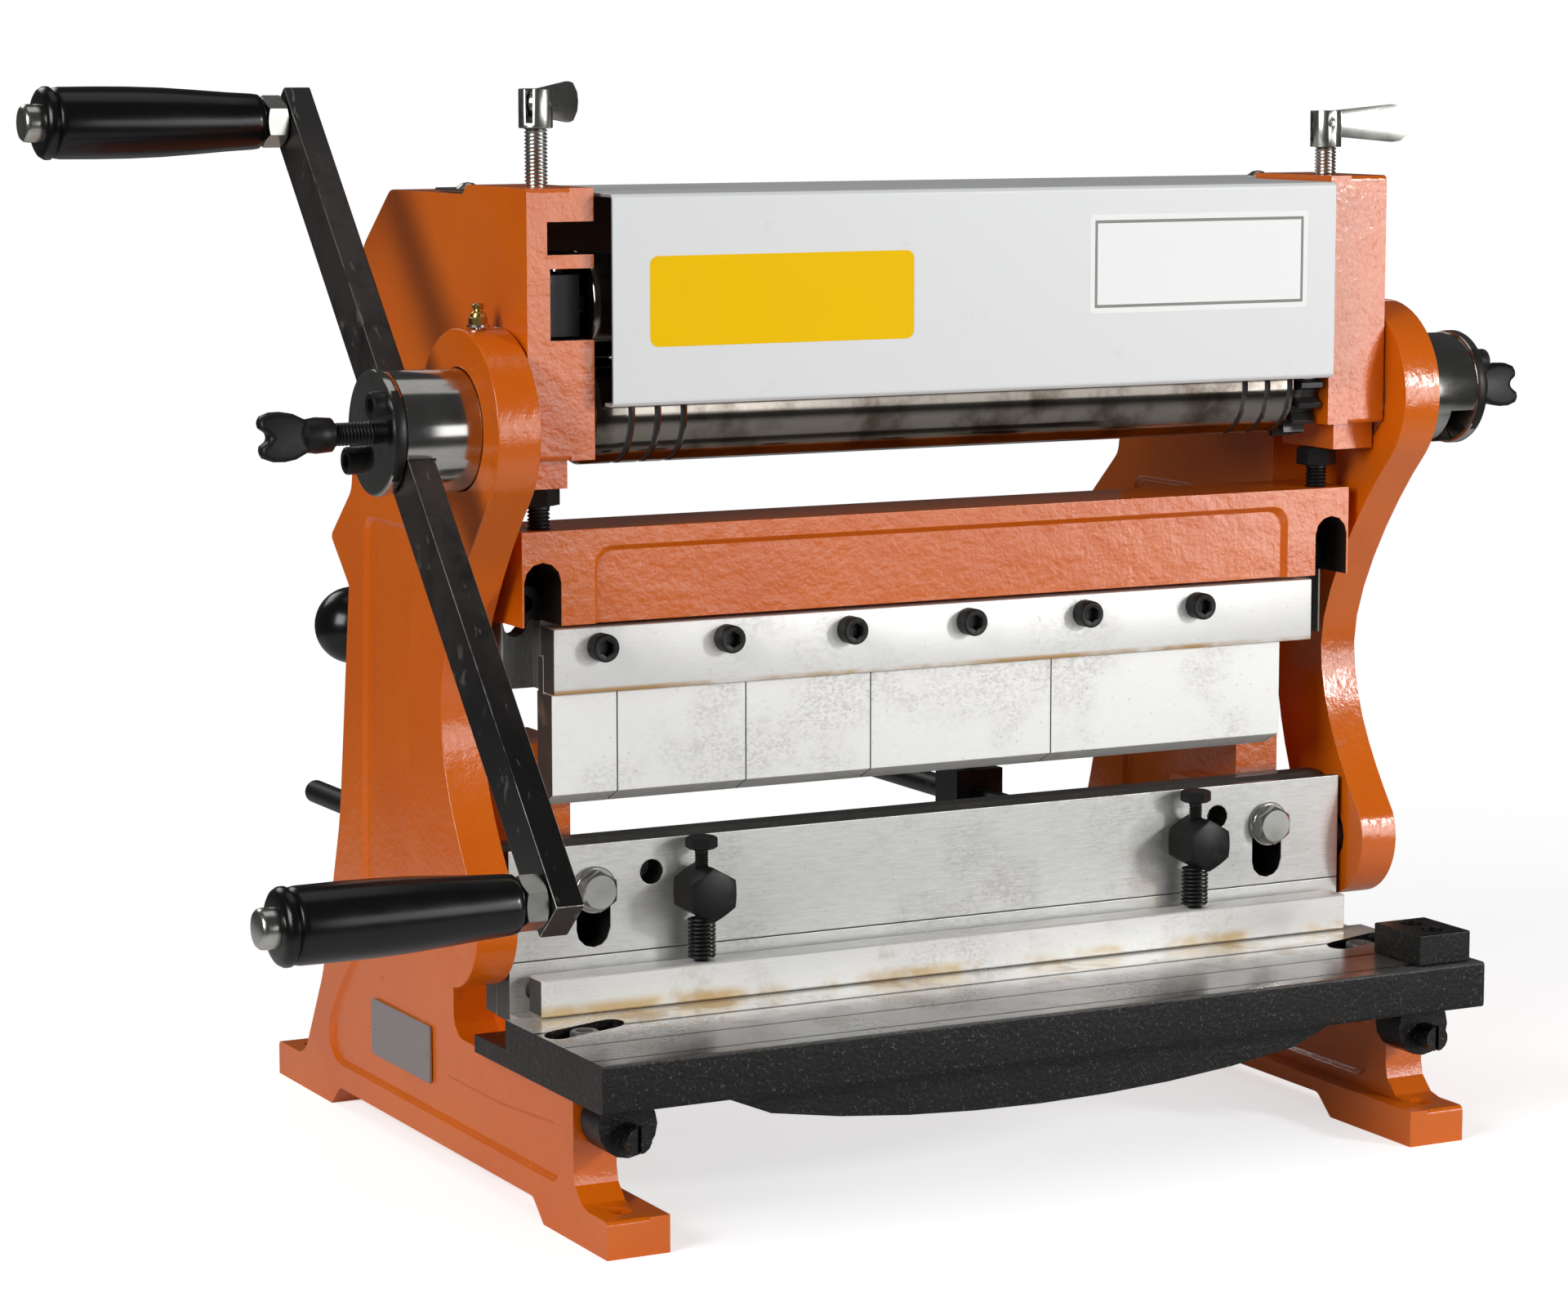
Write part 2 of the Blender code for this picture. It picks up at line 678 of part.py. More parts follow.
# Side frames
def make_frame(name, side):
    """Casting with foot, front column, inner guide ear and head block with the roll bearings."""
    outline = fillet([
        (0.0, 0.0, 0), (0.0, FOOT_HEIGHT, ARCH_RISE / 4), (COLUMN_FRONT, FOOT_HEIGHT, FOOT_FILLET),
        (COLUMN_FRONT, SEAT, ARCH_RISE / 4), (NECK_FRONT, SEAT, SEAT_FILLET),
        (NECK_FRONT, NECK_FROM, SEAT_FILLET), (WAIST_BACK, WAIST_HIGH, EAR_TOP / 3),
        (GUIDE_FRONT, GUIDE_FROM, SEAT_FILLET), (GUIDE_FRONT, HEAD_BOTTOM, SEAT_FILLET),
        (HEAD_FRONT, HEAD_BOTTOM, GUARD_BEND), (HEAD_FRONT, HEAD_TOP, GUARD_BEND),
        (HEAD_BACK, HEAD_TOP, GUARD_BEND), (HEAD_BACK + HEAD_TOP - CREST, CREST, GUARD_BEND),
        (CREST_BACK, CREST, SEAT_FILLET), (CREST_BACK + HEAD_BACK / 4, CREST - HEAD_BACK / 5, FOOT_FILLET),
        (NECK_REAR, NECK_REAR_HIGH, SEAT_FILLET), (HUMP_BACK, HUMP_HIGH, GUARD_BEND),
        (NOTCH_BACK, NOTCH_HIGH, GUARD_BEND), (REAR_EDGE, REAR_EDGE_HIGH, REAR_EDGE / 2),
        (FLARE_BACK, FLARE_HIGH, FLARE_HIGH), (FLARE_FOOT, FOOT_HEIGHT, FOOT_FILLET),
        (REAR_END, FOOT_HEIGHT, ARCH_RISE / 4), (REAR_END, 0.0, 0), (REAR_PAD_FROM, 0.0, 0),
        (REAR_PAD_FROM - ARCH_RUN, ARCH_RISE, ARCH_RISE / 2),
        (FRONT_PAD + ARCH_RUN, ARCH_RISE, ARCH_RISE / 2), (FRONT_PAD, 0.0, 0)])
    made = side_plate(name, side, outline, WEB_IN, FRAME_OUT)
    foot = fillet([
        (0.0, 0.0, 0), (0.0, FOOT_HEIGHT, 0), (REAR_END, FOOT_HEIGHT, 0), (REAR_END, 0.0, 0),
        (REAR_PAD_FROM, 0.0, 0), (REAR_PAD_FROM - ARCH_RUN, ARCH_RISE, ARCH_RISE / 2),
        (FRONT_PAD + ARCH_RUN, ARCH_RISE, ARCH_RISE / 2), (FRONT_PAD, 0.0, 0)])
    join(made, side_plate(name + "_foot", side, foot, FOOT_IN, WEB_IN + FIT))
    join(made, side_box(name + "_head", side, HEAD_IN, WEB_IN + FIT, HEAD_FRONT, GUARD_TAB_FRONT,
                        HEAD_BOTTOM, HEAD_TOP - (HEAD_TOP - CREST)))
    join(made, side_box(name + "_head_cap", side, HEAD_IN, WEB_IN + FIT, HEAD_FRONT, HEAD_BACK,
                        CREST - FIT, HEAD_TOP))
    join(made, side_box(name + "_chin", side, CHIN_IN, FRAME_OUT, CHIN_FRONT, SLOT_BACK,
                        CHIN_BOTTOM, HEAD_BOTTOM + FIT))
    join(made, side_box(name + "_ear", side, EAR_IN, WEB_IN + FIT, EAR_FRONT, EAR_BACK, SEAT, EAR_TOP))
    join(made, side_box(name + "_ear_foot", side, EAR_FOOT_IN, EAR_IN + FIT, EAR_FRONT, EAR_BACK,
                        SEAT, EAR_FOOT_TOP))
    # bearings of the rolls
    front = HEAD_FRONT - OVERRUN if side < 0 else BLOCK_FRONT - FIT
    cut(made,
        rod(name + "_bearing", LOWER_JOURNAL + FIT,
            (side * (HEAD_IN - OVERRUN), ROLL_BACK, LOWER_ROLL_HIGH),
            (side * (FRAME_OUT + OVERRUN), ROLL_BACK, LOWER_ROLL_HIGH), 20),
        side_box(name + "_block_slot", side, HEAD_IN - OVERRUN, SLOT_OUT, front, BLOCK_BACK + FIT,
                 SLOT_LOW, SLOT_HIGH),
        rod(name + "_clamp_hole", CLAMP_SCREW_RADIUS + FIT,
            (side * CLAMP_SCREW_OUT, ROLL_BACK, SLOT_HIGH - OVERRUN),
            (side * CLAMP_SCREW_OUT, ROLL_BACK, HEAD_TOP + OVERRUN), 14))
    if side < 0:
        cut(made, side_box(name + "_upper_slot", side, HEAD_IN - OVERRUN, UPPER_SLOT_OUT, front,
                           SLOT_BACK, UPPER_SLOT_LOW, UPPER_SLOT_HIGH))
    # slanted slide of the rear roll with the hole of its screw
    slide = tilted(REAR_ROLL_REACH - REAR_TRAVEL - REAR_BLOCK_LONG, REAR_ROLL_REACH + REAR_TRAVEL
                   + REAR_BLOCK_LONG, REAR_BLOCK_HALF + FIT)
    cut(made, side_plate(name + "_slide", side, slide, WEB_IN - OVERRUN, REAR_BLOCK_OUT + FIT))
    mouth = SCREW_MOUTH + Vector((side * KNOB_OUT, 0.0, 0.0))
    cut(made, rod(name + "_screw_hole", REAR_SCREW_RADIUS + FIT, mouth - SLIDE_DIRECTION * KNOB_DROP,
                  mouth + SLIDE_DIRECTION * (REAR_ROLL_REACH - REAR_BLOCK_LONG), 12))
    # holes of the bolts that this frame holds
    cut(made, rod(name + "_table_hole", TABLE_SCREW_RADIUS + FIT,
                  (side * RECESS_OUT, TABLE_FRONT + RECESS_BACK, SEAT - TABLE_SCREW_REACH - FIT),
                  (side * RECESS_OUT, TABLE_FRONT + RECESS_BACK, SEAT + OVERRUN), 12))
    cut(made,
        rod(name + "_guide_hole", GUIDE_BOLT_RADIUS + FIT, (side * RAM_SLOT_OUT, RAM_BACK, GUIDE_BOLT_HIGH),
            (side * RAM_SLOT_OUT, EAR_FRONT + GUIDE_BOLT_REACH + FIT, GUIDE_BOLT_HIGH), 14),
        rod(name + "_guard_hole", GUARD_SCREW_RADIUS + FIT, (side * GUARD_SCREW_OUT, GUARD_SCREW_BACK,
            CREST - GUARD_SCREW_REACH - FIT), (side * GUARD_SCREW_OUT, GUARD_SCREW_BACK, HEAD_TOP), 10))
    join(made, socket_screw(name + "_beam_bolt", (side * YOKE_OUT, YOKE_POCKET_BACK - FIT, BEAM_BOLT_HIGH),
                            (0, 1, 0), BEAM_BOLT_RADIUS, BEAM_BOLT_HEAD, BEAM_BOLT_RISE,
                            GUIDE_FRONT - YOKE_POCKET_BACK + BEAM_BOLT_REACH))
    for tag, back in (("_front_hole", FRONT_HOLE_BACK), ("_rear_hole", REAR_HOLE_BACK)):
        middle = side * (FOOT_IN + FOOT_HOLE_INSET)
        cut(made, rod(name + tag, FOOT_HOLE_RADIUS, (middle, back, -OVERRUN),
                      (middle, back, FOOT_HEIGHT + OVERRUN), 12))
    return keep(solid(made), ORANGE)


GUARD_SCREW_BACK = (GUARD_TAB_FRONT + GUARD_BACK) / 2
make_frame("left_frame", -1)
make_frame("right_frame", 1)
keep(box("small_plate", (-FRAME_OUT - FIT - PLATE_THICK, PLATE_FROM, PLATE_LOW),
         (-FRAME_OUT - FIT, PLATE_TO, PLATE_HIGH)), STEEL)


# Table, its screws, the lower blade and the squaring block
def make_table():
    outline = fillet([
        (TABLE_FRONT, TABLE_LOW, TABLE_EDGE_BEVEL), (TABLE_FRONT, TABLE_TOP, TABLE_EDGE_BEVEL),
        (TABLE_BACK, TABLE_TOP, 0), (TABLE_BACK, LEDGE_TOP, 0), (LEDGE_BACK, LEDGE_TOP, 0),
        (LEDGE_BACK, TABLE_LOW, 0)], 2)
    made = plate("table", outline, -TABLE_HALF, TABLE_HALF, 'X')
    for index, back in enumerate(TABLE_GROOVES):
        middle = TABLE_FRONT + back
        groove = [(middle - TABLE_GROOVE_HALF, TABLE_TOP + OVERRUN), (middle, TABLE_TOP - TABLE_GROOVE_DEEP),
                  (middle + TABLE_GROOVE_HALF, TABLE_TOP + OVERRUN)]
        cut(made, plate(f"table_groove_{index}", groove, -TABLE_HALF - OVERRUN, TABLE_HALF + OVERRUN, 'X'))
    rib = [(-RIB_HALF, TABLE_LOW + FIT)]
    for step in range(RIB_POINTS + 1):
        share = step / RIB_POINTS
        rib.append((RIB_HALF * (2 * share - 1), TABLE_LOW - RIB_DROP * math.sin(math.pi * share) ** 0.5))
    rib.append((RIB_HALF, TABLE_LOW + FIT))
    join(made, plate("table_rib", rib[::-1], RIB_FRONT, RIB_BACK, 'Y'))
    for side, word in ((-1, "left"), (1, "right")):
        join(made, rod(f"table_{word}_lug", LUG_RADIUS, (side * LUG_OUT, LUG_FRONT, LUG_HIGH),
                       (side * LUG_OUT, LUG_BACK, LUG_HIGH), 16))
        cut(made,
            plate(f"table_{word}_recess",
                  [(side * RECESS_OUT + across, TABLE_FRONT + RECESS_BACK + back + across / 3)
                   for across, back in arc((RECESS_HALF_LONG, 0.0), RECESS_RADIUS, -90, 90, 8)
                   + arc((-RECESS_HALF_LONG, 0.0), RECESS_RADIUS, 90, 270, 8)],
                  TABLE_TOP - RECESS_DEEP, TABLE_TOP + OVERRUN, 'Z'))
        seat = TABLE_TOP - RECESS_DEEP
        slotted = rod(f"{word}_lug_screw", LUG_SCREW_RADIUS,
                      (side * LUG_OUT, LUG_SCREW_FRONT, LUG_HIGH - LUG_SCREW_DROP),
                      (side * LUG_OUT, COLUMN_FRONT - FIT, LUG_HIGH - LUG_SCREW_DROP), 14)
        cut(slotted, box(f"{word}_lug_screw_slot",
                         (side * LUG_OUT - LUG_SCREW_SLOT / 2, LUG_SCREW_FRONT - OVERRUN,
                          LUG_HIGH - LUG_SCREW_DROP - LUG_SCREW_RADIUS - OVERRUN),
                         (side * LUG_OUT + LUG_SCREW_SLOT / 2, LUG_SCREW_FRONT + LUG_SCREW_SLOT_DEEP,
                          LUG_HIGH - LUG_SCREW_DROP + LUG_SCREW_RADIUS + OVERRUN)))
        join(made, socket_screw(f"{word}_table_screw", (side * RECESS_OUT, TABLE_FRONT + RECESS_BACK, seat),
                                (0, 0, -1), TABLE_SCREW_RADIUS, TABLE_SCREW_HEAD, TABLE_SCREW_RISE,
                                seat - SEAT + TABLE_SCREW_REACH, 16, FIT), slotted)
    for index, back in enumerate((SQUARE_FRONT, SQUARE_BACK)):
        screw_back = back + SQUARE_SINK * (1.8 if index == 0 else -1.8)
        cut(made, rod(f"table_square_hole_{index}", SQUARE_SCREW_RADIUS + FIT,
                      (SQUARE_MIDDLE, screw_back, TABLE_LOW - OVERRUN),
                      (SQUARE_MIDDLE, screw_back, TABLE_TOP + OVERRUN), 10))
    for index, out in enumerate(LOWER_BLADE_SCREW_OUTS):
        cut(made, rod(f"table_blade_hole_{index}", M6_RADIUS + FIT, (out, LOWER_BLADE_FRONT - BLADE_SINK
                      - BLADE_SCREW_REACH, LEDGE_MIDDLE), (out, LOWER_BLADE_FRONT, LEDGE_MIDDLE), 10))
    return keep(solid(made), BLACK_CAST)


SQUARE_MIDDLE = (SQUARE_IN + SQUARE_OUT) / 2
LEDGE_MIDDLE = (LEDGE_TOP + TABLE_TOP) / 2
make_table()


BLADE_TOP = TABLE_TOP
keep(solid(cut(box("lower_blade", (-LOWER_BLADE_HALF, LOWER_BLADE_FRONT, LEDGE_TOP + FIT),
                   (LOWER_BLADE_HALF, LOWER_BLADE_BACK, BLADE_TOP)),
               *[rod(f"lower_blade_hole_{index}", M6_RADIUS, (out, LOWER_BLADE_FRONT - OVERRUN, LEDGE_MIDDLE),
                     (out, LOWER_BLADE_BACK + OVERRUN, LEDGE_MIDDLE), 10)
                 for index, out in enumerate(LOWER_BLADE_SCREW_OUTS)])), STEEL)


def make_squaring_block():
    low = TABLE_TOP + FIT
    made = box("squaring_block", (SQUARE_IN, SQUARE_FRONT, low), (SQUARE_OUT, SQUARE_BACK, low + SQUARE_RISE),
               TABLE_EDGE_BEVEL / 2)
    for index, back in enumerate((SQUARE_FRONT + 1.8 * SQUARE_SINK, SQUARE_BACK - 1.8 * SQUARE_SINK)):
        screw = rod(f"square_screw_{index}", SQUARE_SCREW_RADIUS, (SQUARE_MIDDLE, back, low + SQUARE_SINK),
                    (SQUARE_MIDDLE, back, TABLE_LOW), 10)
        cut(made, rod(f"square_sink_{index}", SQUARE_SCREW_HEAD + FIT, (SQUARE_MIDDLE, back, low + SQUARE_SINK),
                      (SQUARE_MIDDLE, back, low + SQUARE_RISE + OVERRUN), 14))
        join(made, screw)
        cut(made, rod(f"square_socket_{index}", SQUARE_SCREW_RADIUS * SOCKET_SHARE * 1.4,
                      (SQUARE_MIDDLE, back, low + SQUARE_SINK / 2),
                      (SQUARE_MIDDLE, back, low + SQUARE_SINK + OVERRUN), 6))
    return keep(solid(made), DARK_STEEL)


make_squaring_block()


# Ram with the upper blade, its guide bolts and the sprung hold-down bar
def make_ram():
    outline = [(RAM_FRONT, RAM_STEP), (RAM_FRONT, RAM_TOP), (VEE_BACK - VEE_HALF, RAM_TOP),
               (VEE_BACK, RAM_TOP - VEE_HALF), (VEE_BACK + VEE_HALF, RAM_TOP), (RAM_BACK, RAM_TOP),
               (RAM_BACK, RAM_LOW), (BLADE_BACK, RAM_LOW), (BLADE_BACK, RAM_STEP)]
    made = plate("ram", outline, -RAM_HALF, RAM_HALF, 'X')
    for side, word in ((-1, "left"), (1, "right")):
        join(made, rod(f"ram_{word}_pin", ROD_PIN_RADIUS,
                       (side * (RAM_HALF - ROD_PIN_POCKET), ROD_EYE_BACK, ROD_EYE_HIGH),
                       (side * (ROD_IN + ROD_PIN_POCKET - FIT), ROD_EYE_BACK, ROD_EYE_HIGH), 16))
        cut(made,
            plate(f"ram_{word}_slot", slot(RAM_SLOT_LOW, RAM_SLOT_HIGH, RAM_SLOT_RADIUS, side * RAM_SLOT_OUT),
                  RAM_FRONT - OVERRUN, RAM_BACK + OVERRUN, 'Y'),
            rod(f"ram_{word}_hole", RAM_HOLE_RADIUS, (side * RAM_HOLE_OUT, RAM_FRONT - OVERRUN, RAM_HOLE_HIGH),
                (side * RAM_HOLE_OUT, RAM_FRONT + RAM_HOLE_DEEP, RAM_HOLE_HIGH), 14),
            rod(f"ram_{word}_stud_hole", STUD_RADIUS + FIT, (side * STUD_OUT, RAM_FRONT - OVERRUN, STUD_HIGH),
                (side * STUD_OUT, RAM_FRONT + STUD_REACH + FIT, STUD_HIGH), 14),
            rod(f"ram_{word}_gauge_hole", GAUGE_ROD_RADIUS + FIT,
                (side * GAUGE_ROD_OUT, RAM_BACK - GAUGE_ROD_REACH - FIT, GAUGE_ROD_HIGH),
                (side * GAUGE_ROD_OUT, RAM_BACK + OVERRUN, GAUGE_ROD_HIGH), 14))
    return keep(solid(made), STEEL)


make_ram()
blade = box("upper_blade", (-RAM_HALF, RAM_FRONT, BLADE_LOW), (RAM_HALF, BLADE_BACK - FIT, RAM_STEP - FIT))
for index, out in enumerate(BLADE_SCREW_OUTS):
    cut(blade, rod(f"blade_sink_{index}", BLADE_SINK / 2 + FIT, (out, RAM_FRONT - OVERRUN, BLADE_SCREW_HIGH),
                   (out, RAM_FRONT + BLADE_SCREW_REACH, BLADE_SCREW_HIGH), 14))
keep(solid(blade), DARK_STEEL)


for side, word in ((-1, "left"), (1, "right")):
    keep(solid(hex_bolt(f"{word}_guide_bolt", (side * RAM_SLOT_OUT, RAM_FRONT - FIT, GUIDE_BOLT_HIGH),
                        (0, 1, 0), GUIDE_BOLT_RADIUS, GUIDE_BOLT_ACROSS, GUIDE_BOLT_HEAD,
                        EAR_FRONT + GUIDE_BOLT_REACH - RAM_FRONT, GUIDE_BOLT_WASHER)), CHROME)


def make_spring(name, at, height):
    """Coil whose wire ends run straight up and down; prints its least gap to itself."""
    turns = SPRING_CURLS * SPRING_POINTS
    tall = height - 4 * SPRING_WIRE
    spots = [Vector((SPRING_RADIUS, 0.0, 0.0))]
    for step in range(turns + 1):
        angle = 2 * math.pi * step / SPRING_POINTS
        spots.append(Vector((SPRING_RADIUS * math.cos(angle), SPRING_RADIUS * math.sin(angle),
                             2 * SPRING_WIRE + tall * step / turns)))
    spots.append(Vector((spots[-1].x, spots[-1].y, height)))
    gap = min((spots[i] - spots[j]).length for i in range(len(spots))
              for j in range(i + SPRING_POINTS // 2 + 1, len(spots))) - 2 * SPRING_WIRE
    print(name, "least gap to itself in mm:", round(gap * 1000, 3))
    curve = bpy.data.curves.new(name, 'CURVE')
    curve.dimensions = '3D'
    curve.bevel_depth = SPRING_WIRE
    curve.bevel_resolution = 1
    curve.use_fill_caps = True
    line = curve.splines.new('POLY')
    line.points.add(len(spots) - 1)
    for point, spot in zip(line.points, spots):
        point.co = (*spot, 1.0)
    made = bpy.data.objects.new(name, curve)
    made.location = at
    return keep(solid(made), STEEL)


def make_hold_down():
    bar = box("hold_down_bar", (-HOLD_HALF, HOLD_FRONT, HOLD_LOW), (HOLD_HALF, HOLD_FRONT + HOLD_THICK, HOLD_TOP),
              TABLE_EDGE_BEVEL / 2)
    stud_bottom = STUD_HIGH - STUD_ACROSS / 2
    for side, word in ((-1, "left"), (1, "right")):
        out = side * STUD_OUT
        stud = rod(f"{word}_stud", STUD_ACROSS / math.sqrt(3), (out, STUD_FRONT, STUD_HIGH),
                   (out, STUD_FRONT + STUD_HEX_LONG, STUD_HIGH), 6, STUD_TURN)
        join(stud, rod(f"{word}_stud_shank", STUD_RADIUS, (out, HOLD_MID, STUD_HIGH),
                       (out, RAM_FRONT + STUD_REACH, STUD_HIGH), 14))
        cut(stud, rod(f"{word}_stud_bore", HOLD_SCREW_RADIUS + FIT, (out, HOLD_MID, STUD_HIGH - STUD_ACROSS),
                      (out, HOLD_MID, STUD_HIGH + STUD_ACROSS), 12))
        keep(solid(stud), STEEL)
        screw = hex_bolt(f"{word}_hold_screw", (out, HOLD_MID, HOLD_SCREW_HEAD_LOW), (0, 0, -1),
                         HOLD_SCREW_RADIUS, HOLD_SCREW_ACROSS, HOLD_SCREW_HEAD,
                         HOLD_SCREW_HEAD_LOW - HOLD_TOP + HOLD_SCREW_REACH)
        keep(solid(screw), STEEL)
        cut(bar, rod(f"{word}_hold_hole", HOLD_SCREW_RADIUS + FIT,
                     (out, HOLD_MID, HOLD_TOP - HOLD_SCREW_REACH - FIT), (out, HOLD_MID, HOLD_TOP + OVERRUN), 12))
        make_spring(f"{word}_spring", (out, HOLD_MID, HOLD_TOP + FIT), stud_bottom - HOLD_TOP - 2 * FIT)
    return keep(solid(bar), BLACK_OXIDE)


HOLD_SCREW_RADIUS = 0.0025
STUD_TURN = math.radians(30)
make_hold_down()


# Connecting rods with their grease nipples
def make_rod(name, side):
    ring = Vector((ROLL_BACK, HUB_HIGH))
    eye = Vector((ROD_EYE_BACK, ROD_EYE_HIGH))
    pull = ROD_RING * 2
    over = arc(ring, ROD_RING, -58, 222, 16)
    under = arc(eye, ROD_EYE, 155, 385, 12)
    waist = Vector((ROD_WAIST_FRONT, ROD_WAIST_HIGH))
    back = Vector((ROD_WAIST_BACK, ROD_WAIST_HIGH))
    outline = (over + bend(over[-1], (pull * 0.7, -pull * 0.7), waist, (0.0, -pull), 7)
               + [tuple(waist)] + bend(waist, (0.0, -pull), under[0], (-pull * 0.6, -pull * 0.8), 7)
               + under + bend(under[-1], (pull * 0.4, pull * 0.9), back, (0.0, pull), 6)
               + [tuple(back)] + bend(back, (0.0, pull), over[0], (-pull * 0.8, pull * 0.6), 7))
    made = side_plate(name, side, outline, ROD_IN, ROD_OUT)
    made.data.transform(Matrix.Translation(-Vector((ROLL_BACK, HUB_HIGH, 0.0))))
    made.location = (0.0, ROLL_BACK, HUB_HIGH)
    top = HUB_HIGH + ROD_RING
    middle = side * (ROD_IN + ROD_OUT) / 2
    cut(made,
        rod(name + "_ring_bore", HUB_RADIUS + FIT, (side * (ROD_IN - OVERRUN), ROLL_BACK, HUB_HIGH),
            (side * (ROD_OUT + OVERRUN), ROLL_BACK, HUB_HIGH), 28),
        rod(name + "_pin_pocket", ROD_PIN_RADIUS + ROD_PIN_PLAY,
            (side * (ROD_IN - OVERRUN), ROD_EYE_BACK, ROD_EYE_HIGH),
            (side * (ROD_IN + ROD_PIN_POCKET), ROD_EYE_BACK, ROD_EYE_HIGH), 16),
        rod(name + "_nipple_hole", NIPPLE_RADIUS * SOCKET_SHARE + FIT, (middle, ROLL_BACK, top - NIPPLE_HEIGHT),
            (middle, ROLL_BACK, top + OVERRUN), 10))
    keep(solid(made), ORANGE)
    share = NIPPLE_RADIUS / 5
    nipple = turned(name.replace("rod", "nipple"),
                    [(0.0, NIPPLE_HEIGHT), (3 * share, NIPPLE_HEIGHT), (4 * share, NIPPLE_HEIGHT - 2 * share),
                     (3 * share, NIPPLE_HEIGHT - 4 * share), (3 * share, NIPPLE_HEIGHT - 6 * share),
                     (NIPPLE_RADIUS, NIPPLE_HEIGHT - 8 * share), (NIPPLE_RADIUS, FIT),
                     (NIPPLE_RADIUS * SOCKET_SHARE, FIT), (NIPPLE_RADIUS * SOCKET_SHARE, -NIPPLE_HEIGHT / 2),
                     (0.0, -NIPPLE_HEIGHT / 2)], (middle, ROLL_BACK, top), 'Z', 10)
    keep(nipple, BRASS)


make_rod("left_rod", -1)
make_rod("right_rod", 1)


# Rolls and gears
def roll_profile(journal, left_end, right_end):
    """Radius and place pairs of a roll with three wire grooves near each end."""
    places = sorted([side * (GROOVE_FIRST + GROOVE_STEP * index) for side in (-1, 1)
                     for index in range(GROOVE_COUNT)], reverse=True)
    profile = [(0.0, right_end), (journal, right_end), (journal, ROLL_RIGHT_END),
               (ROLL_RADIUS - ROLL_CHAMFER, ROLL_RIGHT_END), (ROLL_RADIUS, ROLL_RIGHT_END - ROLL_CHAMFER)]
    for place in places:
        profile += [(ROLL_RADIUS, place + GROOVE_RADIUS), (ROLL_RADIUS - GROOVE_RADIUS, place),
                    (ROLL_RADIUS, place - GROOVE_RADIUS)]
    return profile + [(ROLL_RADIUS, -ROLL_LEFT_END + ROLL_CHAMFER),
                      (ROLL_RADIUS - ROLL_CHAMFER, -ROLL_LEFT_END), (journal, -ROLL_LEFT_END),
                      (journal, left_end), (0.0, left_end)]


keep(turned("lower_roll", roll_profile(LOWER_JOURNAL, -HUB_BORE_END, HUB_BORE_END),
            (0.0, ROLL_BACK, LOWER_ROLL_HIGH), 'X', 24), STEEL)
keep(turned("upper_roll", roll_profile(UPPER_JOURNAL, FIT - BLOCK_OUT, BLOCK_OUT - FIT),
            (0.0, ROLL_BACK, UPPER_ROLL_HIGH), 'X', 24), STEEL)


def make_gear(name, high, bore, shift):
    pitch = (UPPER_ROLL_HIGH - LOWER_ROLL_HIGH) / 2
    step = 2 * math.pi / GEAR_TEETH
    outline = []
    for tooth in range(GEAR_TEETH):
        middle = (tooth + shift) * step
        for share, radius in ((-TOOTH_ROOT_SHARE, pitch - TOOTH_DROP), (-TOOTH_TIP_SHARE, pitch + TOOTH_RISE),
                              (TOOTH_TIP_SHARE, pitch + TOOTH_RISE), (TOOTH_ROOT_SHARE, pitch - TOOTH_DROP)):
            outline.append((radius * math.cos(middle + share * step), radius * math.sin(middle + share * step)))
    start = ROLL_RIGHT_END + OVERRUN / 2
    made = plate(name, outline, start, start + GEAR_WIDTH, 'X')
    made.location = (0.0, ROLL_BACK, high)
    bpy.context.view_layer.update()
    cut(made, rod(name + "_bore", bore + FIT, (start - OVERRUN, ROLL_BACK, high),
                  (start + GEAR_WIDTH + OVERRUN, ROLL_BACK, high), 20))
    return keep(solid(made), BLACK_OXIDE)


make_gear("lower_gear", LOWER_ROLL_HIGH, LOWER_JOURNAL, 0.0)
make_gear("upper_gear", UPPER_ROLL_HIGH, UPPER_JOURNAL, 0.5)


# Eccentric hubs with their caps, screws and wing screws
HUB_START = FRAME_OUT + 2 * FIT
BAR_SLOT_FLOOR = BAR_OUT - BAR_THICK - FIT
CROSS = Vector((0.0, BAR_DIRECTION.z, -BAR_DIRECTION.y))
CAP_START = HUB_END + FIT
CAP_END = CAP_START + CAP_THICK


def bar_strip(from_hub, to_hub, half):
    hub = Vector((0.0, ROLL_BACK, HUB_HIGH))
    spots = (hub + BAR_DIRECTION * from_hub - CROSS * half, hub + BAR_DIRECTION * from_hub + CROSS * half,
             hub + BAR_DIRECTION * to_hub + CROSS * half, hub + BAR_DIRECTION * to_hub - CROSS * half)
    return [(spot.y, spot.z) for spot in spots]


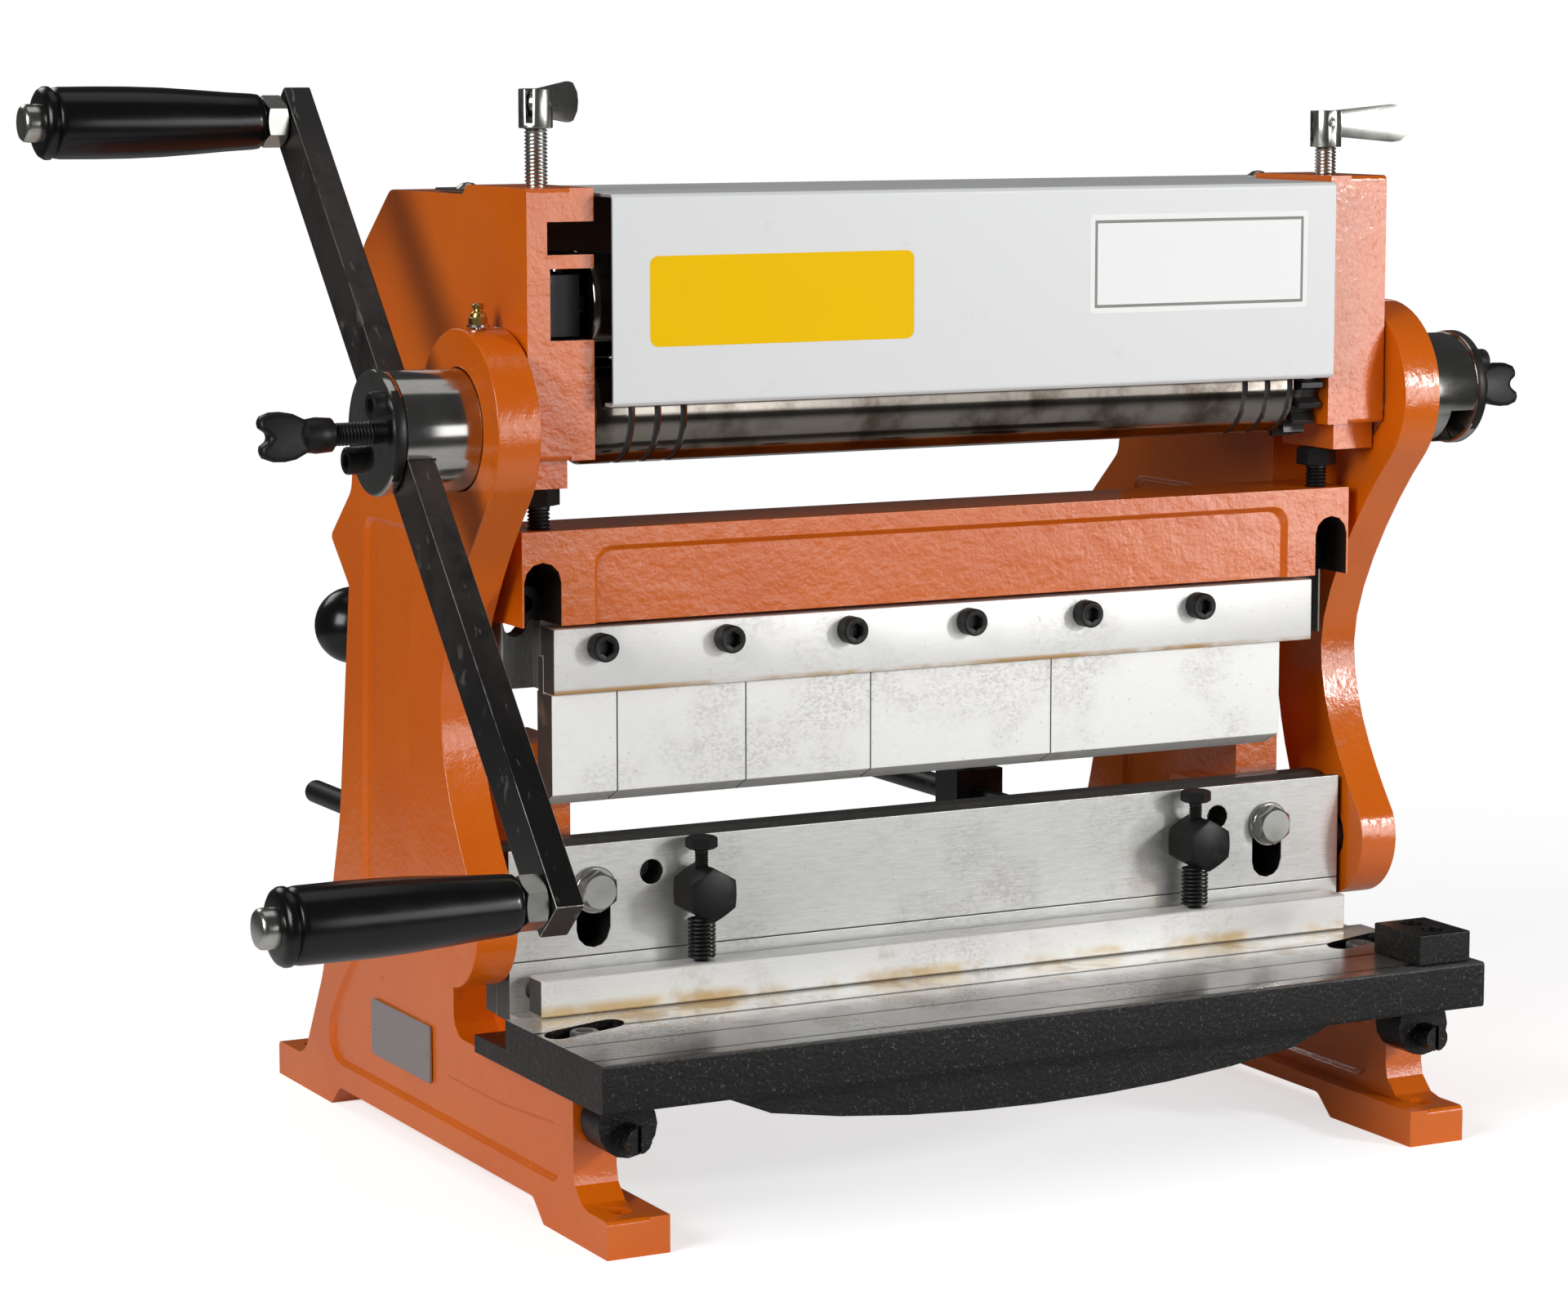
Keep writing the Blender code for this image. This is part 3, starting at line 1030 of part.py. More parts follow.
def make_hub(word, side):
    made = rod(f"{word}_hub", HUB_RADIUS, (side * HUB_START, ROLL_BACK, HUB_HIGH),
               (side * HUB_END, ROLL_BACK, HUB_HIGH), 28)
    cap_steps = 28
    cut(made,
        rod(f"{word}_hub_bore", LOWER_JOURNAL + FIT, (side * (HUB_START - OVERRUN), ROLL_BACK, LOWER_ROLL_HIGH),
            (side * (HUB_BORE_END + FIT), ROLL_BACK, LOWER_ROLL_HIGH), 20),
        side_plate(f"{word}_bar_slot", side, bar_strip(-HUB_RADIUS - OVERRUN, HUB_RADIUS + OVERRUN,
                                                       BAR_WIDE / 2 + FIT), BAR_SLOT_FLOOR, HUB_END + OVERRUN))
    rim = CAP_RADIUS - CAP_CHAMFER
    cap = turned(f"{word}_hub_cap", [(0.0, CAP_THICK), (rim, CAP_THICK), (CAP_RADIUS, CAP_THICK - CAP_CHAMFER),
                                     (CAP_RADIUS, CAP_CHAMFER), (rim, 0.0), (0.0, 0.0)],
                 (side * CAP_START, ROLL_BACK, HUB_HIGH), (side, 0, 0), cap_steps)
    cut(cap, rod(f"{word}_cap_bore", WING_THREAD + FIT, (side * (CAP_START - OVERRUN), ROLL_BACK, HUB_HIGH),
                 (side * (CAP_END + OVERRUN), ROLL_BACK, HUB_HIGH), 14))
    for index, way in enumerate((-1, 1)):
        spot = Vector((0.0, ROLL_BACK, HUB_HIGH)) + CROSS * way * CAP_SCREW_OUT
        outer = Vector((side * CAP_END, *spot[1:]))
        cut(made, rod(f"{word}_hub_hole_{index}", CAP_SCREW_RADIUS + FIT, Vector((side * (HUB_END + OVERRUN), *spot[1:])),
                      Vector((side * (HUB_END - CAP_SCREW_REACH - FIT), *spot[1:])), 12))
        join(cap, socket_screw(f"{word}_cap_screw_{index}", outer, (-side, 0, 0), CAP_SCREW_RADIUS,
                               CAP_SCREW_HEAD, CAP_SCREW_HEAD, CAP_THICK + CAP_SCREW_REACH - 2 * FIT, 12, FIT))
    keep(solid(made), CHROME)
    keep(solid(cap), CHROME)


make_hub("left", -1)
make_hub("right", 1)


def make_wing(word, side, tip, standoff):
    """Screw with a plain wing across its end, turned so that the wing lies level."""
    start = CAP_END + standoff
    made = rod(f"{word}_wing_screw", WING_THREAD, (side * tip, ROLL_BACK, HUB_HIGH),
               (side * (start + FIT), ROLL_BACK, HUB_HIGH), 14)
    join(made, rod(f"{word}_wing_neck", WING_NECK, (side * start, ROLL_BACK, HUB_HIGH),
                   (side * (start + WING_NECK_LONG), ROLL_BACK, HUB_HIGH), 16))
    wing = fillet([(start + WING_NECK_LONG / 2, -WING_NECK, 0), (start + WING_NECK_LONG, -WING_SPAN / 2, 0),
                   (start + WING_NECK_LONG + WING_SPAN, -WING_SPAN / 2, WING_DEEP / 2),
                   (start + WING_NECK_LONG + WING_SPAN, WING_SPAN / 2, WING_DEEP / 2),
                   (start + WING_NECK_LONG, WING_SPAN / 2, 0), (start + WING_NECK_LONG / 2, WING_NECK, 0)], 3)
    flat = [(side * across, up + HUB_HIGH) for across, up in wing]
    join(made, plate(f"{word}_wing", flat, ROLL_BACK - WING_THICK, ROLL_BACK + WING_THICK, 'Y'))
    return keep(solid(made), CHROME)


make_wing("left", -1, BAR_OUT + FIT, LEFT_WING_STANDOFF)
make_wing("right", 1, BAR_SLOT_FLOOR + FIT, RIGHT_WING_STANDOFF)


# Crank bar with its grips
def make_crank():
    bar = side_plate("crank_bar", -1, bar_strip(-BAR_DOWN, BAR_UP, BAR_WIDE / 2), BAR_OUT - BAR_THICK, BAR_OUT)
    hub = Vector((0.0, ROLL_BACK, HUB_HIGH))
    for word, out in (("upper", BAR_UP - GRIP_INSET), ("lower", GRIP_INSET - BAR_DOWN)):
        spot = hub + BAR_DIRECTION * out
        nut = -BAR_OUT - FIT
        grip = nut - NUT_THICK - GRIP_START
        end = grip - GRIP_LENGTH
        cut(bar, rod(f"{word}_bar_hole", SPINDLE_RADIUS + FIT, (OVERRUN - BAR_OUT + BAR_THICK, *spot[1:]),
                     (-BAR_OUT - OVERRUN, *spot[1:]), 14))
        spindle = rod(f"{word}_spindle", SPINDLE_RADIUS, (BAR_THICK - BAR_OUT, *spot[1:]), (end - OVERRUN / 2, *spot[1:]), 14)
        join(spindle, rod(f"{word}_nut", NUT_ACROSS / math.sqrt(3), (nut, *spot[1:]),
                          (nut - NUT_THICK, *spot[1:]), 6),
             turned(f"{word}_dome", [(0.0, SPINDLE_DOME * 1.9), (SPINDLE_HEAD * 0.6, SPINDLE_DOME * 1.7),
                                     (SPINDLE_HEAD * 0.9, SPINDLE_DOME * 1.2), (SPINDLE_HEAD, SPINDLE_DOME / 2),
                                     (SPINDLE_HEAD, 0.0), (0.0, 0.0)],
                    (end - FIT, *spot[1:]), (-1, 0, 0), 16))
        keep(solid(spindle), CHROME)
        taper = GRIP_LENGTH / 2
        profile = [(SPINDLE_RADIUS + FIT, GRIP_LENGTH), (GRIP_BIG - GRIP_ROUND, GRIP_LENGTH),
                   (GRIP_BIG, GRIP_LENGTH - GRIP_ROUND), (GRIP_BIG, GRIP_LENGTH - 2 * GRIP_ROUND),
                   (GRIP_BIG - FIT, GRIP_LENGTH - 2 * GRIP_ROUND), (GRIP_BIG - FIT, taper),
                   (GRIP_SMALL + FIT, GRIP_ROUND), (GRIP_SMALL - GRIP_ROUND / 2, 0.0),
                   (SPINDLE_RADIUS + FIT, 0.0), (SPINDLE_RADIUS + FIT, GRIP_LENGTH)]
        keep(turned(f"{word}_grip", profile, (grip, *spot[1:]), (-1, 0, 0), 20), GRIP_BLACK)
    return keep(solid(bar), DARK_STEEL)


make_crank()


# Bearing blocks, clamp screws and paddles of the upper roll
def make_clamps():
    for word, side, clevis_high, turn in (("left", -1, LEFT_CLEVIS_HIGH, LEFT_PADDLE_TURN),
                                          ("right", 1, RIGHT_CLEVIS_HIGH, RIGHT_PADDLE_TURN)):
        block = side_box(f"{word}_bearing_block", side, BLOCK_IN, BLOCK_OUT, BLOCK_FRONT, BLOCK_BACK,
                         UPPER_ROLL_HIGH - BLOCK_HALF_HIGH, UPPER_ROLL_HIGH + BLOCK_HALF_HIGH)
        cut(block, rod(f"{word}_block_bore", UPPER_JOURNAL + FIT, (side * (BLOCK_IN - OVERRUN), ROLL_BACK,
            UPPER_ROLL_HIGH), (side * (BLOCK_OUT + OVERRUN), ROLL_BACK, UPPER_ROLL_HIGH), 20))
        keep(solid(block), STEEL)
        foot = UPPER_ROLL_HIGH + BLOCK_HALF_HIGH + ROLL_LIFT + FIT
        at = Vector((side * CLAMP_SCREW_OUT, ROLL_BACK, clevis_high))
        screw = rod(f"{word}_clamp_screw", CLAMP_SCREW_RADIUS, (at.x, at.y, foot), (at.x, at.y, at.z + FIT), 14)
        join(screw, rod(f"{word}_clevis", CLEVIS_RADIUS, at, (at.x, at.y, at.z + CLEVIS_HEIGHT), 16))
        pivot = at + Vector((0.0, 0.0, CLEVIS_HEIGHT - CLEVIS_PIVOT_DROP))
        way = Matrix.Rotation(turn, 4, 'Z')
        gap = box(f"{word}_clevis_gap", (-CLEVIS_HEIGHT, -CLEVIS_SLOT / 2, -CLEVIS_HEIGHT / 2),
                  (CLEVIS_HEIGHT, CLEVIS_SLOT / 2, CLEVIS_HEIGHT), 0.0, (0.0, 0.0, 0.0))
        gap.matrix_world = Matrix.Translation(pivot) @ way
        hole = rod(f"{word}_clevis_hole", CLEVIS_SLOT / 2 + FIT, (0.0, -CLEVIS_HEIGHT, 0.0), (0.0, CLEVIS_HEIGHT, 0.0), 10)
        hole.matrix_world = Matrix.Translation(pivot) @ way @ hole.matrix_world
        cut(screw, gap, hole)
        keep(solid(screw), STEEL)
        outline = fillet([(-PADDLE_ROOT, -PADDLE_ROOT, PADDLE_ROOT), (PADDLE_LENGTH, -PADDLE_TIP, PADDLE_TIP),
                          (PADDLE_LENGTH, PADDLE_TIP, PADDLE_TIP), (-PADDLE_ROOT, PADDLE_ROOT, PADDLE_ROOT)])
        paddle = plate(f"{word}_paddle", outline, -PADDLE_THICK / 2, PADDLE_THICK / 2, 'Y')
        join(paddle, rod(f"{word}_paddle_pin", CLEVIS_SLOT / 2, (0.0, -CLEVIS_RADIUS, 0.0), (0.0, CLEVIS_RADIUS, 0.0), 10))
        paddle = solid(paddle)
        paddle.matrix_world = Matrix.Translation(pivot) @ way @ paddle.matrix_world
        keep(paddle, STEEL)


make_clamps()


# Rear roll with its slide blocks and ball knob screws
def make_rear():
    end = REAR_BLOCK_OUT - FIT
    keep(turned("rear_roll", [(0.0, end), (REAR_JOURNAL, end), (REAR_JOURNAL, ROLL_LEFT_END),
                              (ROLL_RADIUS - ROLL_CHAMFER, ROLL_LEFT_END), (ROLL_RADIUS, ROLL_LEFT_END - ROLL_CHAMFER),
                              (ROLL_RADIUS, ROLL_CHAMFER - ROLL_LEFT_END), (ROLL_RADIUS - ROLL_CHAMFER, -ROLL_LEFT_END),
                              (REAR_JOURNAL, -ROLL_LEFT_END), (REAR_JOURNAL, -end), (0.0, -end)],
                REAR_ROLL_AT, 'X', 22), STEEL)
    half = REAR_BLOCK_LONG * 0.9
    for word, side in (("left", -1), ("right", 1)):
        block = side_plate(f"{word}_slide_block", side, tilted(REAR_ROLL_REACH - half, REAR_ROLL_REACH + half,
                                                               REAR_BLOCK_HALF), WEB_IN, REAR_BLOCK_OUT)
        cut(block, rod(f"{word}_slide_bore", REAR_JOURNAL + FIT,
                       REAR_ROLL_AT + Vector((side * (WEB_IN - OVERRUN), 0, 0)),
                       REAR_ROLL_AT + Vector((side * (REAR_BLOCK_OUT + OVERRUN), 0, 0)), 16))
        keep(solid(block), STEEL)
        mouth = SCREW_MOUTH + Vector((side * KNOB_OUT, 0.0, 0.0))
        start = mouth - SLIDE_DIRECTION * KNOB_DROP
        reach = KNOB_DROP + REAR_ROLL_REACH - half - FIT
        steps = 8
        low = -KNOB_RADIUS * KNOB_FLAT_SHARE
        profile = [(0.0, reach), (REAR_SCREW_RADIUS, reach)]
        start_angle = math.asin(REAR_SCREW_RADIUS / KNOB_RADIUS)
        end_angle = math.acos(-KNOB_FLAT_SHARE)
        for step in range(steps + 1):
            angle = start_angle + (end_angle - start_angle) * step / steps
            profile.append((KNOB_RADIUS * math.sin(angle), KNOB_RADIUS * math.cos(angle)))
        profile.append((0.0, low))
        keep(turned(f"{word}_knob_screw", profile, start, SLIDE_DIRECTION, 14), BLACK_OXIDE)


make_rear()


# Upper beam with clamp bar, fingers and bolts
def make_beam():
    outline = [(BEAM_FRONT, BEAM_LEG), (BEAM_FRONT, BEAM_TOP), (BEAM_BACK, BEAM_TOP), (BEAM_BACK, BEAM_LOW),
               (BEAM_STEP, BEAM_LOW), (BEAM_STEP, BEAM_LEG)]
    made = plate("upper_beam", outline, -BEAM_HALF, BEAM_HALF, 'X')
    panel = fillet([(-PANEL_HALF, BEAM_LEG - OVERRUN, 0), (PANEL_HALF, BEAM_LEG - OVERRUN, 0),
                    (PANEL_HALF, PANEL_TOP, PANEL_ROUND), (-PANEL_HALF, PANEL_TOP, PANEL_ROUND)])
    cut(made, plate("beam_panel", panel, BEAM_FRONT - OVERRUN, BEAM_FRONT + PANEL_DEPTH, 'Y'))
    for side, word in ((-1, "left"), (1, "right")):
        cut(made,
            plate(f"{word}_yoke", slot(BEAM_LOW - YOKE_RADIUS - OVERRUN, YOKE_HIGH, YOKE_RADIUS, side * YOKE_OUT),
                  BEAM_FRONT - OVERRUN, YOKE_POCKET_BACK, 'Y'),
            plate(f"{word}_yoke_slot", slot(YOKE_LOW, YOKE_HIGH, BEAM_BOLT_RADIUS + 2 * FIT, side * YOKE_OUT),
                  YOKE_POCKET_BACK - OVERRUN, BEAM_BACK + OVERRUN, 'Y'),
            rod(f"{word}_jack_hole", JACK_RADIUS + FIT, (side * JACK_OUT, JACK_BACK, CHIN_BOTTOM - FIT
                - JACK_HEAD - JACK_REACH - FIT), (side * JACK_OUT, JACK_BACK, BEAM_TOP + OVERRUN), 14))
        keep(solid(hex_bolt(f"{word}_jack_bolt", (side * JACK_OUT, JACK_BACK, CHIN_BOTTOM - FIT - JACK_HEAD),
                            (0, 0, -1), JACK_RADIUS, JACK_ACROSS, JACK_HEAD, JACK_REACH)), STEEL)
    bar = box("clamp_bar", (-CLAMP_HALF, CLAMP_FRONT, CLAMP_LOW), (CLAMP_HALF, CLAMP_BACK, CLAMP_TOP),
              TABLE_EDGE_BEVEL / 2)
    for index in range(CLAMP_SCREWS):
        at = Vector((CLAMP_SCREW_FIRST + CLAMP_SCREW_STEP * index, CLAMP_FRONT, CLAMP_BAR_SCREW_HIGH))
        reach = BEAM_STEP - CLAMP_FRONT + CLAMP_BAR_SCREW_REACH
        end = at + Vector((0.0, reach + 2 * FIT, 0.0))
        cut(made, rod(f"beam_screw_hole_{index}", M6_RADIUS + FIT, at, end, 12))
        join(bar, socket_screw(f"clamp_bar_screw_{index}", at, (0, 1, 0), M6_RADIUS, M6_HEAD, M6_HEAD_LONG,
                               reach, 14, FIT))
    keep(solid(made), ORANGE)
    keep(solid(bar), STEEL)
    outline = [(FINGER_FRONT, FINGER_BEVEL_HIGH), (VEE_BACK, FINGER_TIP_HIGH), (FINGER_BACK, FINGER_HEEL_HIGH),
               (FINGER_BACK, BEAM_LOW - FIT), (BEAM_STEP - FIT, BEAM_LOW - FIT), (BEAM_STEP - FIT, FINGER_TANG_TOP),
               (CLAMP_BACK + FIT, FINGER_TANG_TOP), (CLAMP_BACK + FIT, CLAMP_LOW - FIT),
               (FINGER_FRONT, CLAMP_LOW - FIT)]
    start = FINGER_LEFT
    for index, inches in enumerate(FINGER_INCHES):
        keep(plate(f"finger_{index + 1}", outline, start + FIT / 2, start + inches * INCH - FIT / 2, 'X'), STEEL)
        start += inches * INCH


make_beam()


# Guard over the rolls
def make_guard():
    top = CREST + FIT + GUARD_SHEET
    inner = GUARD_BEND - GUARD_SHEET
    outline = fillet([
        (GUARD_FRONT + GUARD_LIP, GUARD_BOTTOM, 0), (GUARD_FRONT, GUARD_BOTTOM, GUARD_BEND),
        (GUARD_FRONT, top, GUARD_BEND), (GUARD_BACK, top, 0), (GUARD_BACK, top - GUARD_SHEET, 0),
        (GUARD_FRONT + GUARD_SHEET, top - GUARD_SHEET, inner),
        (GUARD_FRONT + GUARD_SHEET, GUARD_BOTTOM + GUARD_SHEET, inner),
        (GUARD_FRONT + GUARD_LIP, GUARD_BOTTOM + GUARD_SHEET, 0)], 3)
    made = plate("guard", outline, -GUARD_HALF, GUARD_HALF, 'X')
    for side, word in ((-1, "left"), (1, "right")):
        join(made, side_box(f"guard_{word}_tab", side, GUARD_HALF - OVERRUN, GUARD_TAB_OUT, GUARD_TAB_FRONT,
                            GUARD_BACK, top - GUARD_SHEET, top))
        spot = (side * GUARD_SCREW_OUT, GUARD_SCREW_BACK)
        join(made, turned(f"guard_{word}_screw",
                       [(0.0, GUARD_SCREW_DOME), (GUARD_SCREW_HEAD / 2, GUARD_SCREW_DOME * 0.85),
                        (GUARD_SCREW_HEAD, FIT), (GUARD_SCREW_HEAD, -FIT), (GUARD_SCREW_RADIUS, -FIT),
                        (GUARD_SCREW_RADIUS, -GUARD_SCREW_REACH), (0.0, -GUARD_SCREW_REACH)],
                       (*spot, top), 'Z', 12))
    keep(solid(made), GREY_PAINT)


make_guard()


# Back gauge
def make_gauge():
    for side, word in ((-1, "left"), (1, "right")):
        keep(rod(f"{word}_gauge_rod", GAUGE_ROD_RADIUS, (side * GAUGE_ROD_OUT, RAM_BACK - GAUGE_ROD_REACH,
                 GAUGE_ROD_HIGH), (side * GAUGE_ROD_OUT, GAUGE_ROD_END, GAUGE_ROD_HIGH), 14), STEEL)
    gauge = box("back_gauge", (-GAUGE_FACE_HALF, GAUGE_BLOCK_FRONT - GAUGE_FACE_THICK, GAUGE_FACE_LOW),
                (GAUGE_FACE_HALF, GAUGE_BLOCK_FRONT, GAUGE_FACE_TOP))
    for side, word in ((-1, "left"), (1, "right")):
        join(gauge, side_box(f"{word}_gauge_block", side, GAUGE_ROD_OUT - GAUGE_BLOCK_WIDE / 2,
                             GAUGE_ROD_OUT + GAUGE_BLOCK_WIDE / 2, GAUGE_BLOCK_FRONT - FIT,
                             GAUGE_BLOCK_FRONT + GAUGE_BLOCK_DEEP, GAUGE_BLOCK_LOW, GAUGE_BLOCK_TOP))
        spot = (side * GAUGE_ROD_OUT, GAUGE_BLOCK_FRONT + GAUGE_BLOCK_DEEP / 2)
        join(gauge, rod(f"{word}_gauge_screw", GAUGE_SCREW_RADIUS, (*spot, GAUGE_BLOCK_TOP - OVERRUN),
                        (*spot, GAUGE_BLOCK_TOP + GAUGE_KNURL), 10),
             rod(f"{word}_gauge_knob", GAUGE_KNURL, (*spot, GAUGE_BLOCK_TOP + GAUGE_KNURL / 2),
                 (*spot, GAUGE_BLOCK_TOP + GAUGE_KNURL / 2 + GAUGE_KNURL_LONG), 12))
        cut(gauge, rod(f"{word}_gauge_bore", GAUGE_ROD_RADIUS + FIT,
                       (spot[0], GAUGE_BLOCK_FRONT - GAUGE_FACE_THICK - OVERRUN, GAUGE_ROD_HIGH),
                       (spot[0], GAUGE_BLOCK_FRONT + GAUGE_BLOCK_DEEP + OVERRUN, GAUGE_ROD_HIGH), 14))
    keep(solid(gauge), DARK_STEEL)


make_gauge()

# The machine's own origin is the middle of its box, on the bench
LEFT_END = -BAR_OUT - FIT - NUT_THICK - GRIP_START - GRIP_LENGTH - FIT - SPINDLE_DOME * 1.9
RIGHT_END = CAP_END + RIGHT_WING_STANDOFF + WING_NECK_LONG + WING_SPAN
LOWER_GRIP_BACK = ROLL_BACK - BAR_DIRECTION.y * (BAR_DOWN - GRIP_INSET)
BAR_FRONT = ROLL_BACK - BAR_DIRECTION.y * BAR_DOWN - CROSS.y * BAR_WIDE / 2
FRONT_END = min(LOWER_GRIP_BACK - GRIP_BIG, BAR_FRONT)
MACHINE.location = (-(LEFT_END + RIGHT_END) / 2, -(FRONT_END + GAUGE_ROD_END) / 2, 0.0)
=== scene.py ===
import json
import math

import bmesh
import bpy
from mathutils import Matrix, Vector


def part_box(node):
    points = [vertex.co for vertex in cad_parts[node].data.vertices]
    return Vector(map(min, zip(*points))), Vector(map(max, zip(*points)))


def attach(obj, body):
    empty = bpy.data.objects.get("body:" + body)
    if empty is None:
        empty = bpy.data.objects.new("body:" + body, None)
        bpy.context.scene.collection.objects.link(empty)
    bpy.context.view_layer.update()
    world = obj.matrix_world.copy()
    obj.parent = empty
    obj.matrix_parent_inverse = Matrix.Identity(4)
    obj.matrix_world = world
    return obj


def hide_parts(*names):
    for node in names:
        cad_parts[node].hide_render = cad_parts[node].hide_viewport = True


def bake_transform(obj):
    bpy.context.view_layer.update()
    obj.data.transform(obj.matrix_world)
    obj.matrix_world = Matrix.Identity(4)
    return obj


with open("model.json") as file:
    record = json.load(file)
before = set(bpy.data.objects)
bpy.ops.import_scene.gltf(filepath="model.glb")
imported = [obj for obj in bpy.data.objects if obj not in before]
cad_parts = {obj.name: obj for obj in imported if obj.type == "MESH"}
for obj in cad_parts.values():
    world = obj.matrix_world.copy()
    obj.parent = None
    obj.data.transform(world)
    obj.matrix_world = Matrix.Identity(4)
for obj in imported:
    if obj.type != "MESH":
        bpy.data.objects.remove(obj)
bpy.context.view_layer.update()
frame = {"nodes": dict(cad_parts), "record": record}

# The view: a long lens to the left of the machine and a little above it. On the right a small bright
# box casts the shadows, and the soft ones beside it are mirrored by the enamel of the front faces.
# The other boxes fill the left side, the top and the back. The floor is white paper.
scene = bpy.context.scene
scene.view_settings.view_transform = 'Standard'
eye = bpy.data.cameras.new("eye")
eye.lens = 99.38
eye.shift_x = -0.01358
eye.shift_y = -0.00436
eye.clip_end = 60.0
camera = bpy.data.objects.new("eye", eye)
camera.location = (-0.74413, -1.45870, 0.40245)
camera.rotation_euler = (math.radians(82.23), 0.0, math.radians(-27.73))
scene.collection.objects.link(camera)
scene.camera = camera
middle = Vector((0.0, -0.05, 0.20))


def soft_box(name, place, width, height, level):
    """A lamp that faces the machine; its level is how bright its own cloth looks."""
    light = bpy.data.lights.new(name, 'AREA')
    light.shape = 'RECTANGLE'
    light.size, light.size_y, light.energy = width, height, level * math.pi * width * height
    made = bpy.data.objects.new(name, light)
    made.location = place
    made.rotation_euler = (middle - Vector(place)).to_track_quat('-Z', 'Y').to_euler()
    made.visible_camera = False
    scene.collection.objects.link(made)


soft_box("right_box", (0.86, -1.46, 0.30), 0.66, 0.60, 1.6)
soft_box("strip_box", (1.06, -1.28, 0.21), 0.20, 0.42, 6.5)
soft_box("key_box", (0.94, -1.36, 0.60), 0.18, 0.18, 82.0)
soft_box("wide_box", (0.44, -1.66, 0.36), 0.62, 0.52, 2.2)
soft_box("left_box", (-1.88, -0.82, 0.95), 1.00, 1.00, 8.7)
soft_box("top_box", (0.00, 0.05, 2.10), 1.40, 1.20, 0.6)
soft_box("back_box", (-0.60, 2.00, 1.50), 1.10, 0.80, 3.0)

world = bpy.data.worlds.new("studio")
scene.world = world
world.use_nodes = True
sky = world.node_tree


def studio_level(tree, seen, mirrored, rest):
    """A strength that differs for the eye, for reflections and glass, and for the light itself."""
    path = tree.nodes.new('ShaderNodeLightPath')
    reflected = tree.nodes.new('ShaderNodeMath')
    reflected.operation = 'MAXIMUM'
    tree.links.new(path.outputs["Is Glossy Ray"], reflected.inputs[0])
    tree.links.new(path.outputs["Is Transmission Ray"], reflected.inputs[1])
    mirror = tree.nodes.new('ShaderNodeMapRange')
    mirror.inputs["To Min"].default_value = rest
    mirror.inputs["To Max"].default_value = mirrored
    tree.links.new(reflected.outputs[0], mirror.inputs["Value"])
    lift = tree.nodes.new('ShaderNodeMapRange')
    lift.inputs["To Max"].default_value = seen
    tree.links.new(path.outputs["Is Camera Ray"], lift.inputs["Value"])
    tree.links.new(mirror.outputs["Result"], lift.inputs["To Min"])
    return lift.outputs["Result"]


sky_light = sky.nodes["Background"]
sky_light.inputs["Color"].default_value = (1.0, 1.0, 1.0, 1.0)
sky.links.new(studio_level(sky, 1.0, 0.06, 0.13), sky_light.inputs["Strength"])

sweep = bmesh.new()
bmesh.ops.create_circle(sweep, cap_ends=True, segments=64, radius=2.4)
floor_mesh = bpy.data.meshes.new("floor")
sweep.to_mesh(floor_mesh)
sweep.free()
floor = bpy.data.objects.new("floor", floor_mesh)
scene.collection.objects.link(floor)
paper = bpy.data.materials.new("white_paper")
paper.use_nodes = True
sheet = paper.node_tree
paper_shader = sheet.nodes["Principled BSDF"]
for key, value in (("Base Color", (0.80, 0.80, 0.80, 1.0)), ("Roughness", 0.9), ("Specular IOR Level", 0.0),
                   ("Emission Color", (1.0, 1.0, 1.0, 1.0))):
    paper_shader.inputs[key].default_value = value
sheet.links.new(studio_level(sheet, 0.62, 0.0, 0.0), paper_shader.inputs["Emission Strength"])
spot = sheet.nodes.new('ShaderNodeTexCoord')
reach = sheet.nodes.new('ShaderNodeVectorMath')
reach.operation = 'LENGTH'
sheet.links.new(spot.outputs["Object"], reach.inputs[0])
fade = sheet.nodes.new('ShaderNodeMapRange')
fade.interpolation_type = 'SMOOTHSTEP'
for key, value in (("From Min", 0.44), ("From Max", 0.86), ("To Min", 1.0), ("To Max", 0.0)):
    fade.inputs[key].default_value = value
sheet.links.new(reach.outputs["Value"], fade.inputs["Value"])
sheet.links.new(fade.outputs["Result"], paper_shader.inputs["Alpha"])
floor_mesh.materials.append(paper)


# Side frames and connecting rods: iron castings, lumpy from the sand mould, under thick orange
# enamel with a fine peel; the insides of the slots in the heads are painted near-black as painted shade.
# Table and beam tie the frames together. Each rod hangs on an eccentric hub and lifts the ram by a pin.
class Flow:
    """One value inside a finish; arithmetic on it adds the matching nodes."""

    def __init__(self, finish, port):
        self.finish, self.port = finish, port

    def _with(self, operation, first, second):
        return self.finish.node('ShaderNodeMath', {'operation': operation}, {0: first, 1: second})

    def __add__(self, other):
        return self._with('ADD', self, other)

    def __sub__(self, other):
        return self._with('SUBTRACT', self, other)

    def __rsub__(self, other):
        return self._with('SUBTRACT', other, self)

    def __mul__(self, other):
        return self._with('MULTIPLY', self, other)

    __radd__ = __add__
    __rmul__ = __mul__

    def above(self, level, soft):
        """0 below a level and 1 above it, with a soft step between."""
        return self.finish.node('ShaderNodeMapRange', {'interpolation_type': 'SMOOTHSTEP'},
                                {'Value': self, 'From Min': level - soft, 'From Max': level + soft})

    def near(self, level, soft):
        """1 at a level, 0 further from it than a distance."""
        gap = self.finish.node('ShaderNodeMath', {'operation': 'ABSOLUTE'}, {0: self - level})
        return 1.0 - gap.above(soft, soft * 0.6)


